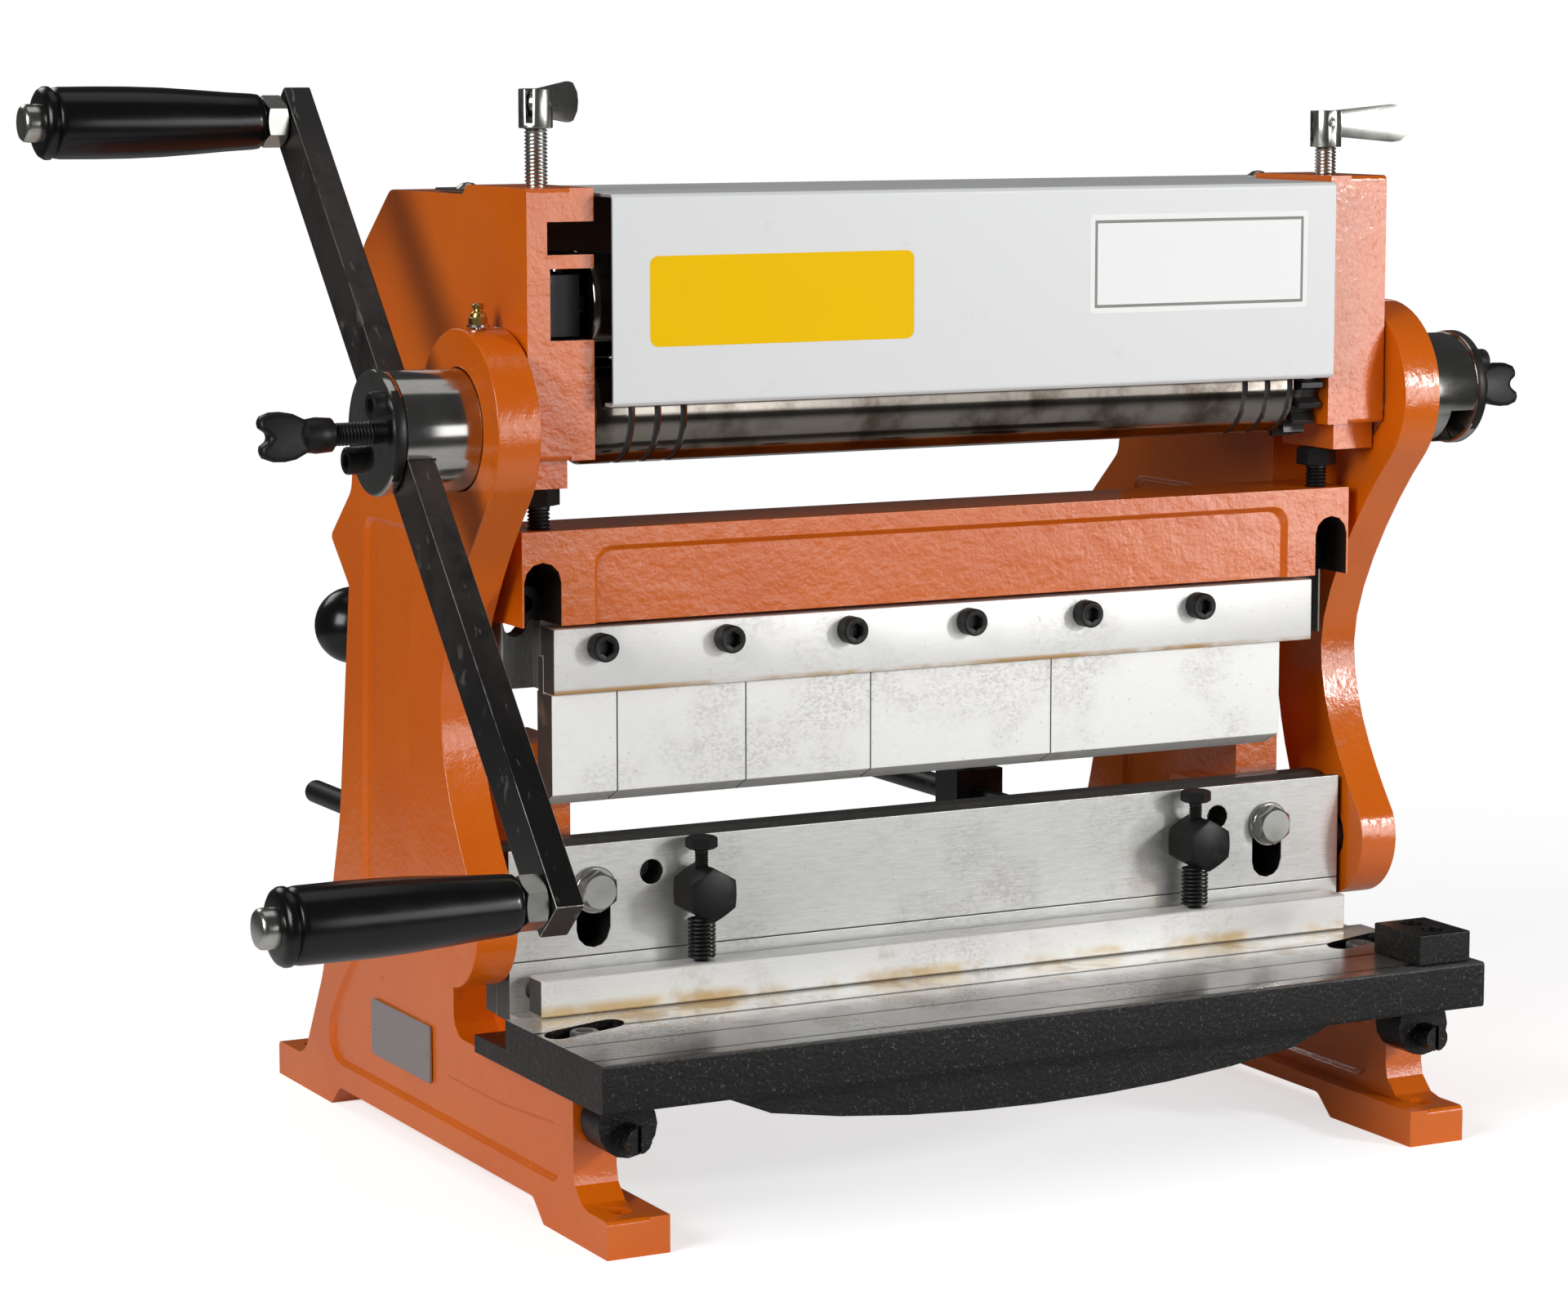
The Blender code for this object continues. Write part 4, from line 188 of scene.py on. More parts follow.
class Finish:
    """A material whose nodes are made by calls."""

    def __init__(self, name):
        self.material = bpy.data.materials.new(name)
        self.material.use_nodes = True
        self.tree = self.material.node_tree
        self.shader = self.tree.nodes["Principled BSDF"]
        self.place = self.node('ShaderNodeTexCoord', out='Object')

    def node(self, kind, settings=None, sockets=None, out=0):
        made = self.tree.nodes.new(kind)
        for key, value in (settings or {}).items():
            setattr(made, key, value)
        for key, value in (sockets or {}).items():
            self.feed(made.inputs[key], value)
        return Flow(self, made.outputs[out])

    def feed(self, port, value):
        if isinstance(value, Flow):
            self.tree.links.new(value.port, port)
        else:
            port.default_value = value

    def axis(self, letter):
        return self.node('ShaderNodeSeparateXYZ', None, {0: self.place}, out=letter)

    def noise(self, scale, detail=2.0, rough=0.5, stretch=None):
        place = self.place
        if stretch:
            place = self.node('ShaderNodeMapping', None, {'Vector': place, 'Scale': stretch})
        return self.node('ShaderNodeTexNoise', None, {'Vector': place, 'Scale': scale, 'Detail': detail,
                                                      'Roughness': rough})

    def pits(self, scale):
        return self.node('ShaderNodeTexVoronoi', None, {'Vector': self.place, 'Scale': scale}, out='Distance')

    def mix(self, share, first, second):
        return self.node('ShaderNodeMix', {'data_type': 'RGBA'}, {0: share, 6: first, 7: second}, out=2)

    def bump(self, height, strength, distance, under=None):
        sockets = {'Height': height, 'Strength': strength, 'Distance': distance}
        if under is not None:
            sockets['Normal'] = under
        return self.node('ShaderNodeBump', None, sockets)

    def set(self, **sockets):
        for key, value in sockets.items():
            self.feed(self.shader.inputs[key.replace("_", " ")], value)
        return self


def tone(red, green, blue):
    """A colour as it is seen on a screen, 0 to 255, as the shader wants it."""
    spread = []
    for part in (red, green, blue):
        part /= 255
        spread.append(part / 12.92 if part < 0.04045 else ((part + 0.055) / 1.055) ** 2.4)
    return (*spread, 1.0)


def enamel(name, lump=1.0):
    """Sprayed enamel over sand-cast iron: lumps, peel, and a thin dust of darker and paler specks."""
    coat = Finish(name)
    lumps = coat.noise(85.0, 3.0, 0.5)
    ripple = coat.noise(400.0, 3.0, 0.6)
    peel = coat.noise(700.0, 2.0, 0.5)
    drift = coat.noise(16.0, 2.0)
    colour = coat.mix(drift.above(0.5, 0.25), tone(214, 97, 5), tone(222, 106, 9))
    worn = coat.noise(75.0, 5.0, 0.7).above(0.69, 0.04)
    colour = coat.mix(worn * 0.35, colour, tone(150, 58, 14))
    rough = 0.15 + ripple * 0.12 + worn * 0.2
    waves = coat.bump(lumps, 0.36 * lump, 0.0010)
    grain = coat.bump(ripple, 0.42 * lump, 0.0004, waves)
    fine = coat.bump(peel, 0.16, 0.00018, grain)
    coat.colour = colour
    return coat.set(Base_Color=colour, Roughness=rough, Specular_IOR_Level=0.85, Normal=fine)


def merged(node):
    """A merged copy of a solid, its flat faces whole again, for finer work."""
    shape = bmesh.new()
    shape.from_mesh(frame["nodes"][node].data)
    bmesh.ops.remove_doubles(shape, verts=shape.verts, dist=0.000002)
    bmesh.ops.dissolve_limit(shape, angle_limit=math.radians(0.6), verts=shape.verts, edges=shape.edges)
    return shape


def ease(shape, size, steps=2, sharp=28.0, along=None):
    """Rounds the sharp edges of a shape, or only those that run along one way."""
    edges = [edge for edge in shape.edges if len(edge.link_faces) == 2
             and edge.calc_face_angle(0.0) > math.radians(sharp)
             and (along is None or abs((edge.verts[0].co - edge.verts[1].co).normalized().dot(along)) > 0.99)]
    bmesh.ops.bevel(shape, geom=edges, offset=size, offset_type='OFFSET', segments=steps, profile=0.5,
                    affect='EDGES', clamp_overlap=True, material=-1)
    return shape


def round_off(shape, centre, way, radius, cuts):
    """Divides the straight steps of a faceted circle and moves the new points out to its radius."""
    centre, way = Vector(centre), Vector(way)

    def out(point):
        gap = point - centre
        return gap - way * gap.dot(way)

    steps = []
    for edge in shape.edges:
        first, second = (corner.co for corner in edge.verts)
        if (abs((first - second).dot(way)) < 0.00002 and (first - second).length < radius
                and abs(out(first).length - radius) < 0.00003 and abs(out(second).length - radius) < 0.00003):
            steps.append(edge)
    fresh = bmesh.ops.subdivide_edges(shape, edges=steps, cuts=cuts)
    for item in fresh["geom_inner"]:
        if isinstance(item, bmesh.types.BMVert):
            gap = out(item.co)
            if abs(gap.length - radius) < radius * 0.06:
                item.co += gap.normalized() * radius - gap
    return shape


def show(name, shape, finishes, stands_for, body=None, sharp=30.0, even=False):
    """Links a finished shape, hangs it on the body it rides on and hides the solids that it stands for."""
    mesh = bpy.data.meshes.new(name)
    for finish in finishes:
        mesh.materials.append(finish.material)
    shape.to_mesh(mesh)
    shape.free()
    mesh.shade_smooth()
    mesh.set_sharp_from_angle(angle=math.radians(sharp))
    made = bpy.data.objects.new(name, mesh)
    scene.collection.objects.link(made)
    if even:
        weigh = made.modifiers.new("even_shading", 'WEIGHTED_NORMAL')
        weigh.keep_sharp = True
    if body != "":
        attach(made, body or home[stands_for[0]])
    if stands_for:
        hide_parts(*stands_for)
    return made


def paint(shape, index, test):
    """Gives a finish of the piece to the faces that pass a test on their middle and their way."""
    for face in shape.faces:
        if test(face.calc_center_median(), face.normal):
            face.material_index = index
    return shape


def dress(node, finishes, soft, steps=2, tests=()):
    """A merged copy of a solid with eased edges; each test gives the next finish to some faces."""
    shape = ease(merged(node), soft, steps)
    for index, test in enumerate(tests, 1):
        paint(shape, index, test)
    show("dressed_" + node, shape, finishes, [node], sharp=28.0, even=True)


home = {node: body for body, nodes in frame["record"]["behaviour"]["bodies"].items() for node in nodes}
ORANGE = enamel("orange_enamel")
# Painted shade: near-black for the faces inside slots in the heads, the ram and the beam, where shade falls.
SLOT_SHADE = Finish("black_painted_shade")
SLOT_SHADE.set(Base_Color=SLOT_SHADE.mix(SLOT_SHADE.noise(140.0, 4.0, 0.6), tone(14, 11, 9), tone(34, 26, 21)),
         Roughness=0.45 + SLOT_SHADE.noise(60.0) * 0.2)


def blacked(name, worn=0.2, rough=0.28, base=20):
    """Oil-blacked steel, rubbed to grey in places."""
    coat = Finish(name)
    cloud = coat.noise(110.0, 4.0, 0.6)
    rub = coat.noise(42.0, 5.0, 0.66).above(0.61, 0.07)
    colour = coat.mix(cloud, tone(base - 7, base - 8, base - 8), tone(base + 12, base + 10, base + 9))
    colour = coat.mix(rub * worn, colour, tone(120, 116, 110))
    return coat.set(Base_Color=colour, Specular_IOR_Level=0.3, Metallic=rub * worn,
                    Roughness=rough + cloud * 0.16, Normal=coat.bump(coat.noise(520.0, 3.0), 0.25, 0.00010))


BLACK = blacked("black_oxide", 0.2, 0.34)
# Painted shade: the inner ears' fronts turn near-black below the ram's top, where the ram covers them.
EAR_SHADE_ENAMEL = enamel("ear_enamel_painted_shade")
EAR_SHADE_ENAMEL.set(Base_Color=EAR_SHADE_ENAMEL.mix(1.0 - EAR_SHADE_ENAMEL.axis('Z').above(0.127, 0.004), EAR_SHADE_ENAMEL.colour, tone(20, 15, 12)))
# The machine's middle across, its own zero in depth, and the axis of the lower roll and the hubs.
centre_x, shift_y = 0.0313, -0.175874
roll_y, hub_z = -0.095374, 0.275
beam_low, beam_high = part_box("upper_beam")


def sink(shape, outline, plane, way):
    """Sinks a panel with round corners and sloping sides into the flat side that faces along X."""
    flat = [face for face in shape.faces if face.normal.x * way > 0.999
            and abs(face.calc_center_median().x - plane) < 0.0001]
    rim = [edge for edge in {edge for face in flat for edge in face.edges}
           if sum(face in flat for face in edge.link_faces) == 1]
    bmesh.ops.delete(shape, geom=flat, context='FACES')
    panel = shape.faces.new([shape.verts.new((plane, back + shift_y, up)) for back, up in outline])
    bmesh.ops.bevel(shape, geom=panel.verts[:], offset=0.0065, segments=5, profile=0.5, affect='VERTICES',
                    clamp_overlap=True, material=-1)
    panel = next(face for face in shape.faces
                 if all(abs(corner.co.x - plane) < 0.000001 for corner in face.verts))
    bmesh.ops.triangle_fill(shape, edges=[edge for edge in rim if edge.is_valid] + panel.edges[:],
                            use_beauty=True)
    bmesh.ops.recalc_face_normals(shape, faces=shape.faces)
    for inwards, deep in ((0.0004, 0.0001), (0.0005, 0.0004), (0.0010, 0.0009), (0.0006, 0.0003)):
        bmesh.ops.inset_region(shape, faces=[panel], thickness=inwards, depth=-deep, use_even_offset=True)
    return shape


def in_roll_slots(at, way):
    """Whether a face lies inside the two slots of a head, where the rolls' blocks stand."""
    return (-0.1162 < at.y < -0.070 and 0.1516 < abs(at.x - centre_x) < 0.1755
            and (0.3050 < at.z < 0.3305 or 0.3341 < at.z < 0.3465))


def on_beam_bolt(at, way):
    """Whether a face belongs to the bolt that holds the upper beam, seen in its slot."""
    return (beam_low[1] + 0.001 < at.y < beam_high[1] - 0.0005
            and beam_low[2] + 0.02 < at.z < beam_high[2] - 0.01)


def on_shaded_ear_front(at, way):
    """Whether a face is the front of the inner ear, on which the ram slides; low down it takes painted shade.
    """
    return way.y < -0.9 and abs(at.y + 0.072574) < 0.0003 and at.z < 0.17


outer_side, inner_side = 0.1763, 0.1600
head_radius, bore_radius, foot_radius = 0.0345, 0.0213, 0.0240
foot_y, foot_z = -0.082874, 0.102
sunk = [(0.0385, 0.0170), (0.0385, 0.0395), (0.0895, 0.0360), (0.1430, 0.0360), (0.1460, 0.0700),
        (0.1510, 0.1490), (0.1480, 0.2000), (0.1620, 0.2330), (0.2095, 0.2330), (0.2145, 0.1500),
        (0.2165, 0.0927), (0.2230, 0.0660), (0.2420, 0.0470), (0.2550, 0.0300), (0.2480, 0.0170)]
for node, side in (("left_frame", -1), ("right_frame", 1)):
    shape = ease(merged(node), 0.0012, 3)
    for index, test in enumerate((in_roll_slots, on_beam_bolt, on_shaded_ear_front), 1):
        paint(shape, index, test)
    for out, way in ((outer_side, side), (inner_side, -side)):
        sink(shape, sunk, centre_x + side * out, way)
    show("cast_" + node, shape, [ORANGE, SLOT_SHADE, BLACK, EAR_SHADE_ENAMEL], [node], sharp=28.0, even=True)
for node in ("left_rod", "right_rod"):
    shape = merged(node)
    for spot_y, spot_z, radius in ((roll_y, hub_z, head_radius), (roll_y, hub_z, bore_radius),
                                   (foot_y, foot_z, foot_radius)):
        round_off(shape, (0.0, spot_y, spot_z), (1.0, 0.0, 0.0), radius, 2)
    ease(shape, 0.0015, 3)
    show("dressed_" + node, shape, [ORANGE], [node], sharp=28.0, even=True)


# Grease nipples: turned brass, screwed into the top of each connecting rod over a bright washer, so
# that the eccentric inside can be greased.
def aim(shape, at, way):
    """Moves a shape made along Z from the zero to a spot and turns it along another way."""
    shape.transform(Matrix.Translation(at) @ Vector(way).to_track_quat('Z', 'Y').to_matrix().to_4x4())
    return shape


def lathe(profile, at, way=(0.0, 0.0, 1.0), steps=36):
    """A turned shape from pairs of place along its axis and radius; a third number makes that ring
    a hexagon, whose corners are set back by that slope."""
    shape = bmesh.new()
    spots = [shape.verts.new((ring[1], 0.0, ring[0])) for ring in profile]
    edges = [shape.edges.new(pair) for pair in zip(spots, spots[1:])]
    bmesh.ops.spin(shape, geom=spots + edges, cent=(0, 0, 0), axis=(0, 0, 1), dvec=(0, 0, 0),
                   angle=2 * math.pi, steps=steps, use_merge=True)
    bmesh.ops.remove_doubles(shape, verts=shape.verts, dist=0.000001)
    bmesh.ops.recalc_face_normals(shape, faces=shape.faces)
    for place, radius, slope in (ring for ring in profile if len(ring) == 3):
        for corner in shape.verts:
            out = math.hypot(corner.co.x, corner.co.y)
            if abs(corner.co.z - place) < 0.000002 and abs(out - radius) < 0.000002:
                angle = math.atan2(corner.co.y, corner.co.x)
                grow = 1 / math.cos((angle + math.pi / 6) % (math.pi / 3) - math.pi / 6)
                corner.co.x *= grow
                corner.co.y *= grow
                corner.co.z += slope * radius * (grow - 1)
    return aim(shape, at, way)


def gather(*shapes):
    """Puts several shapes in one."""
    whole = bmesh.new()
    for shape in shapes:
        spare = bpy.data.meshes.new("spare")
        shape.to_mesh(spare)
        shape.free()
        whole.from_mesh(spare)
        bpy.data.meshes.remove(spare)
    return whole


def tinted(shape, index):
    """Gives one finish of the piece to a whole shape."""
    return paint(shape, index, lambda at, way: True)


BRASS = Finish("brass")
tarnish = BRASS.noise(260.0, 3.0)
BRASS.set(Base_Color=BRASS.mix(tarnish, tone(150, 118, 60), tone(214, 184, 112)), Metallic=1.0,
          Roughness=0.20 + tarnish * 0.16)
ZINC = Finish("bright_zinc")
haze = ZINC.noise(130.0, 4.0, 0.6)
ZINC.set(Base_Color=ZINC.mix(haze, tone(176, 176, 171), tone(212, 212, 206)), Metallic=1.0,
         Roughness=0.20 + haze * 0.10, Normal=ZINC.bump(ZINC.noise(420.0), 0.06, 0.00006))
for node in ("left_nipple", "right_nipple"):
    low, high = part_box(node)
    x, top = (low[0] + high[0]) / 2, 0.3095
    nipple = lathe([(-0.0042, 0.0), (-0.0042, 0.0015), (0.0003, 0.0015), (0.0003, 0.0040), (0.0011, 0.0040),
                    (0.0012, 0.0029, 0.0), (0.0034, 0.0029, 0.0), (0.0037, 0.0027), (0.0050, 0.0025),
                    (0.0058, 0.0016), (0.0063, 0.0015), (0.0069, 0.0020), (0.0077, 0.0021), (0.0083, 0.0014),
                    (0.0085, 0.0006), (0.0085, 0.0)], (x, roll_y, top))
    paint(nipple, 1, lambda at, way: at.z < top + 0.0013)
    show("turned_" + node, nipple, [BRASS, ZINC], [node])

# Small plate: bare brushed aluminium, held by two rivets down in the left frame's sunk panel and
# left blank.
PLATE = Finish("plate_metal")
brush = PLATE.noise(300.0, 3.0, 0.6, (1.0, 1.0, 12.0))
PLATE.set(Base_Color=PLATE.mix(brush, tone(134, 128, 127), tone(172, 165, 163)), Metallic=0.4,
          Roughness=0.36 + brush * 0.15)
low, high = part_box("small_plate")
inwards = 0.0015
plate = merged("small_plate")
bmesh.ops.translate(plate, vec=(inwards, 0.0, 0.0), verts=plate.verts)
ease(plate, 0.0012, 4, along=Vector((1.0, 0.0, 0.0)))
rivets = [lathe([(0.0, 0.0), (0.0, 0.0013), (0.0004, 0.0011), (0.0006, 0.0006), (0.0006, 0.0)],
                (low[0] + inwards, y, (low[2] + high[2]) / 2), (-1.0, 0.0, 0.0), 20)
          for y in (low[1] + 0.003, high[1] - 0.003)]
show("riveted_small_plate", gather(plate, *rivets), [PLATE], ["small_plate"])


# Table: a black iron casting screwed to the frames' seats, its top ground bright and scribed with
# three lines. Worn socket screws hold it down in two recesses. The squaring block is blacked too.
def milled(name, light, deep, grain=(1.0, 14.0, 14.0), stain=0.5, metal=0.7, rough=0.34, specks=0.5):
    """Ground steel: fine scratches one way, grey clouds of specks and yellow-brown stains."""
    coat = Finish(name)
    lines = coat.noise(170.0, 4.0, 0.7, grain)
    clouds = coat.noise(24.0, 4.0, 0.62)
    grit = coat.noise(1000.0, 3.0, 0.65, (0.6, 1.0, 1.0))
    rust = coat.noise(30.0, 5.0, 0.7).above(0.70 - 0.10 * stain, 0.06)
    dots = 1.0 - coat.pits(210.0).above(0.09, 0.05)
    colour = coat.mix(lines, tone(deep, deep - 1, deep - 4), tone(light, light, light - 3))
    patch = clouds.above(0.54, 0.08) * grit.above(0.52, 0.12)
    colour = coat.mix(patch * (0.5 * specks), colour, tone(light * 0.62, light * 0.60, light * 0.54))
    colour = coat.mix(rust * (0.5 * stain), colour, tone(178, 142, 78))
    colour = coat.mix(dots * (0.55 * specks), colour, tone(70, 58, 44))
    scratch = coat.bump(lines, 0.22, 0.00008)
    coat.colour = colour
    return coat.set(Base_Color=colour, Roughness=rough + lines * 0.14 + patch * 0.1,
                    Metallic=metal - rust * 0.4 - patch * 0.3, Normal=scratch)


def socket_head(start, way, radius, height, shank, length):
    """A cap screw: rounded rim, hexagon socket and a plain shank."""
    return lathe([(height * 0.55, 0.0), (height * 0.55, radius * 0.50, 0.0), (0.0002, radius * 0.50, 0.0),
                  (0.0, radius * 0.62), (0.0, radius * 0.88), (0.0003, radius * 0.97), (0.0008, radius),
                  (height, radius), (height, shank), (height + length, shank), (height + length, 0.0)],
                 start, way)


CAST = Finish("black_casting")
grit = CAST.noise(560.0, 4.0, 0.65)
flecks = CAST.noise(900.0, 2.0, 0.6).above(0.66, 0.05)
body_tone = CAST.mix(grit, tone(7, 6, 6), tone(20, 19, 18))
CAST.set(Base_Color=CAST.mix(flecks * 0.5, body_tone, tone(110, 102, 94)),
         Roughness=0.26 + grit * 0.2, Specular_IOR_Level=0.3,
         Normal=CAST.bump(grit, 0.6, 0.0004, CAST.bump(CAST.noise(45.0, 2.0), 0.4, 0.001)))
TOP = milled("ground_top", 244, 204, (1.0, 12.0, 12.0), 1.4, 0.5, 0.15, 0.5)
depth = TOP.axis('Y')
smear = TOP.noise(36.0, 3.0, 0.6, (0.5, 1.0, 1.0))
rear = (depth + smear * 0.02).above(-0.1235, 0.014)
half_line = 0.0013
scribed = depth.near(-0.173874, half_line)
for line in (-0.150574, -0.127274):
    scribed = scribed + depth.near(line, half_line)
oiled = TOP.mix(0.16 + rear * 0.84, tone(52, 49, 46), TOP.colour)
TOP.set(Base_Color=TOP.mix(scribed, oiled, tone(24, 20, 17)))
table_low, table_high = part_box("table")
ground = table_high[2]
table = ease(merged("table"), 0.0009, 3)
paint(table, 1, lambda at, way: (way.z > 0.9 and at.z > ground - 0.0015
                                 and at.y > table_low[1] + 0.0008))
recess_out, recess_y = 0.1620, table_low[1] + 0.0540
screws = [tinted(socket_head((centre_x + side * recess_out, recess_y, ground - 0.0005), (0, 0, -1),
                             0.0052, 0.0056, 0.0030, 0.0010), 2) for side in (-1, 1)]
show("scribed_table", gather(table, *screws), [CAST, TOP, blacked("worn_screws", 0.9, 0.25, 84)],
     ["table"], sharp=28.0, even=True)
dress("squaring_block", [CAST], 0.0008, 3)

# Shear: the lower blade screwed to the table, the ram with the upper blade on its face, and the
# hold-down bar. All are flat ground steel, oiled and stained with age.
STEEL = milled("ground_steel", 230, 170, stain=0.3, rough=0.40, specks=0.35)
DARK = milled("sawn_steel", 112, 60, (14.0, 14.0, 1.0), 0.3, 0.7, 0.40)
ram_low, ram_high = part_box("ram")
# The faces inside the ram's slots take the painted shade.
dress("ram", [STEEL, DARK, SLOT_SHADE], 0.0006, 2, [
    lambda at, way: way.z > 0.6 or abs(way.x) > 0.9,
    lambda at, way: (at.y > ram_low[1] + 0.0003 and abs(way.y) < 0.9
                     and ram_low[2] + 0.02 < at.z < ram_high[2] - 0.003
                     and ram_low[0] + 0.02 < at.x < ram_high[0] - 0.02)])
dress("upper_blade", [STEEL, DARK], 0.0003, 2, [lambda at, way: abs(way.x) > 0.9])
dress("lower_blade", [STEEL], 0.0003, 2)
HOLD = milled("hold_down_steel", 242, 216, stain=0.6, rough=0.40, metal=0.5, specks=0.3)
level = HOLD.axis('Z')
seep = HOLD.noise(20.0, 4.0, 0.7).above(0.52, 0.1) * (1.0 - level.above(0.0725, 0.002))
HOLD.set(Base_Color=HOLD.mix(seep * 0.75, HOLD.colour, tone(196, 158, 74)))
dress("hold_down_bar", [HOLD, DARK], 0.0005, 2, [lambda at, way: abs(way.x) > 0.9])

# Guide bolts: zinc-plated hexagon bolts on washers. They pass through the ram's slots into the
# frames' ears and hold the ram against them while it slides.
guide_z = 0.110
for node in ("left_guide_bolt", "right_guide_bolt"):
    low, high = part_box(node)
    x, long = (low[0] + high[0]) / 2, high[1] - low[1]
    bolt = lathe([(0.0, 0.0), (0.0, 0.0060), (0.0004, 0.0065, 0.5), (0.0040, 0.0065, 0.0), (0.0040, 0.0074),
                  (0.0043, 0.0076), (0.0048, 0.0076), (0.0048, 0.0081), (0.0050, 0.0084), (0.0060, 0.0084),
                  (0.0060, 0.0040), (long, 0.0040), (long, 0.0)], (x, low[1], guide_z), (0, 1, 0))
    show("turned_" + node, bolt, [ZINC], [node], even=True)


# Studs and hold-down screws: blacked hexagon studs through which the screws press the bar down,
# each over a coil spring of blacked wire.
def close(shape):
    """Fills the open rims of a shape."""
    bmesh.ops.holes_fill(shape, edges=[edge for edge in shape.edges if edge.is_boundary], sides=0)


def thread(start, way, length, radius, pitch):
    """A rod with a cut thread: a zigzag line carried round the axis and on by one pitch."""
    shape, steps = bmesh.new(), 24
    count = int(length / pitch) - 1
    pitch = length / (count + 1)
    spots = []
    for turn in range(count):
        for share, out in ((0.0, radius - 0.55 * pitch), (0.32, radius), (0.50, radius)):
            spots.append(shape.verts.new((out, 0.0, (turn + share) * pitch)))
    spots.append(shape.verts.new((radius - 0.55 * pitch, 0.0, count * pitch)))
    edges = [shape.edges.new(pair) for pair in zip(spots, spots[1:])]
    bmesh.ops.spin(shape, geom=spots + edges, cent=(0, 0, 0), axis=(0, 0, 1), dvec=(0, 0, pitch / steps),
                   angle=2 * math.pi, steps=steps, use_merge=False)
    bmesh.ops.remove_doubles(shape, verts=shape.verts, dist=0.000004)
    close(shape)
    bmesh.ops.recalc_face_normals(shape, faces=shape.faces)
    return aim(shape, start, way)


SPRING = blacked("spring_black", 0.5, 0.22, 26)
y = -0.102224
wire, coil_radius, turns, steps = 0.00055, 0.0046, 10, 24
for word in ("left", "right"):
    low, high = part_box(f"{word}_stud")
    x, z, long = (low[0] + high[0]) / 2, (low[2] + high[2]) / 2, high[1] - low[1]
    stud = lathe([(0.0, 0.0), (0.0, 0.0076), (0.0004, 0.0085, 0.5), (0.0166, 0.0085, -0.5), (0.0170, 0.0076),
                  (0.0170, 0.0050), (long, 0.0050), (long, 0.0)], (x, low[1], z), (0, 1, 0))
    show(f"turned_{word}_stud", stud, [BLACK], [f"{word}_stud"])
    low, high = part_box(f"{word}_hold_screw")
    head = lathe([(0.0, 0.0), (0.0, 0.0044), (0.0002, 0.0050, 0.5), (0.0042, 0.0050, -0.4), (0.0045, 0.0046),
                  (0.0045, 0.0023), (0.0060, 0.0023), (0.0060, 0.0)], (x, y, high[2]), (0, 0, -1))
    cut_thread = thread((x, y, low[2]), (0, 0, 1), high[2] - 0.0048 - low[2], 0.0025, 0.0009)
    show(f"threaded_{word}_hold_screw", gather(head, cut_thread), [BLACK], [f"{word}_hold_screw"])
    low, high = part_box(f"{word}_spring")
    coil = bmesh.new()
    upright = Matrix.Translation((coil_radius, 0, wire)) @ Matrix.Rotation(math.pi / 2, 4, 'X')
    bmesh.ops.create_circle(coil, cap_ends=False, segments=8, radius=wire, matrix=upright)
    rise = high[2] - low[2] - 2 * wire
    bmesh.ops.spin(coil, geom=coil.verts[:] + coil.edges[:], cent=(0, 0, 0), axis=(0, 0, 1),
                   dvec=(0, 0, rise / (turns * steps)), angle=2 * math.pi * turns, steps=turns * steps,
                   use_merge=False)
    close(coil)
    bmesh.ops.recalc_face_normals(coil, faces=coil.faces)
    coil.transform(Matrix.Translation((x, y, low[2])))
    spring = show(f"wound_{word}_spring", coil, [SPRING], [f"{word}_spring"], body="", sharp=60.0)
    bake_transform(spring)

# Upper beam: orange casting with a sunk panel and a hooked slot at each end; its rear leg, which
# slides on the frames, is bare milled iron.
RAW = milled("milled_iron", 150, 92, (8.0, 8.0, 2.0), 0.6, 0.6, 0.42, 0.9)
BEAM_PAINT = enamel("beam_enamel", 0.8)
beam = merged("upper_beam")
panel_y, slant, panel_foot = beam_low[1] + 0.0022, 0.0018, 0.2060
for corner in beam.verts:
    if abs(corner.co.y - panel_y) < 0.0002 and abs(corner.co.x - centre_x) < 0.146:
        corner.co.x -= math.copysign(slant, corner.co.x - centre_x)
        if corner.co.z > panel_foot:
            corner.co.z -= slant * min(1.0, (corner.co.z - panel_foot) / 0.02)
bmesh.ops.bisect_plane(beam, geom=beam.verts[:] + beam.edges[:] + beam.faces[:], plane_co=(0, 0, 0.2052),
                       plane_no=(0, 0, 1), dist=0.000001)
ease(beam, 0.0013, 3)
leg_top = 0.2054
paint(beam, 1, lambda at, way: at.z < leg_top or way.y > 0.9)
# The faces inside the hooked slots take the painted shade.
paint(beam, 2, lambda at, way: (beam_low[1] + 0.0012 < at.y < beam_high[1] - 0.006
                                and 0.1560 < abs(at.x - centre_x) < 0.1722
                                and leg_top < at.z < 0.2285 and abs(way.z) < 0.99))
show("cast_upper_beam", beam, [BEAM_PAINT, RAW, SLOT_SHADE], ["upper_beam"], sharp=28.0, even=True)

# Clamp bar and fingers: flat ground steel, the bar held by six socket screws, the fingers of five
# widths hanging under it, their tips rough. A line of old oil lies along the bar's lower edge.
CLAMP = milled("clamp_steel", 250, 230, stain=0.1, rough=0.42, metal=0.45, specks=0.25)
edge_z = CLAMP.axis('Z')
oil = CLAMP.noise(14.0, 4.0, 0.7).above(0.46, 0.10) * (1.0 - edge_z.above(0.1822, 0.0008))
CLAMP.set(Base_Color=CLAMP.mix(oil * 0.85, CLAMP.colour, tone(188, 136, 48)))


def block(low, high, soft, steps=2):
    """A block between two corners with eased edges."""
    shape = bmesh.new()
    bmesh.ops.create_cube(shape, size=1.0)
    low, high = Vector(low), Vector(high)
    bmesh.ops.scale(shape, vec=high - low, verts=shape.verts)
    bmesh.ops.translate(shape, vec=(low + high) / 2, verts=shape.verts)
    return ease(shape, soft, steps)


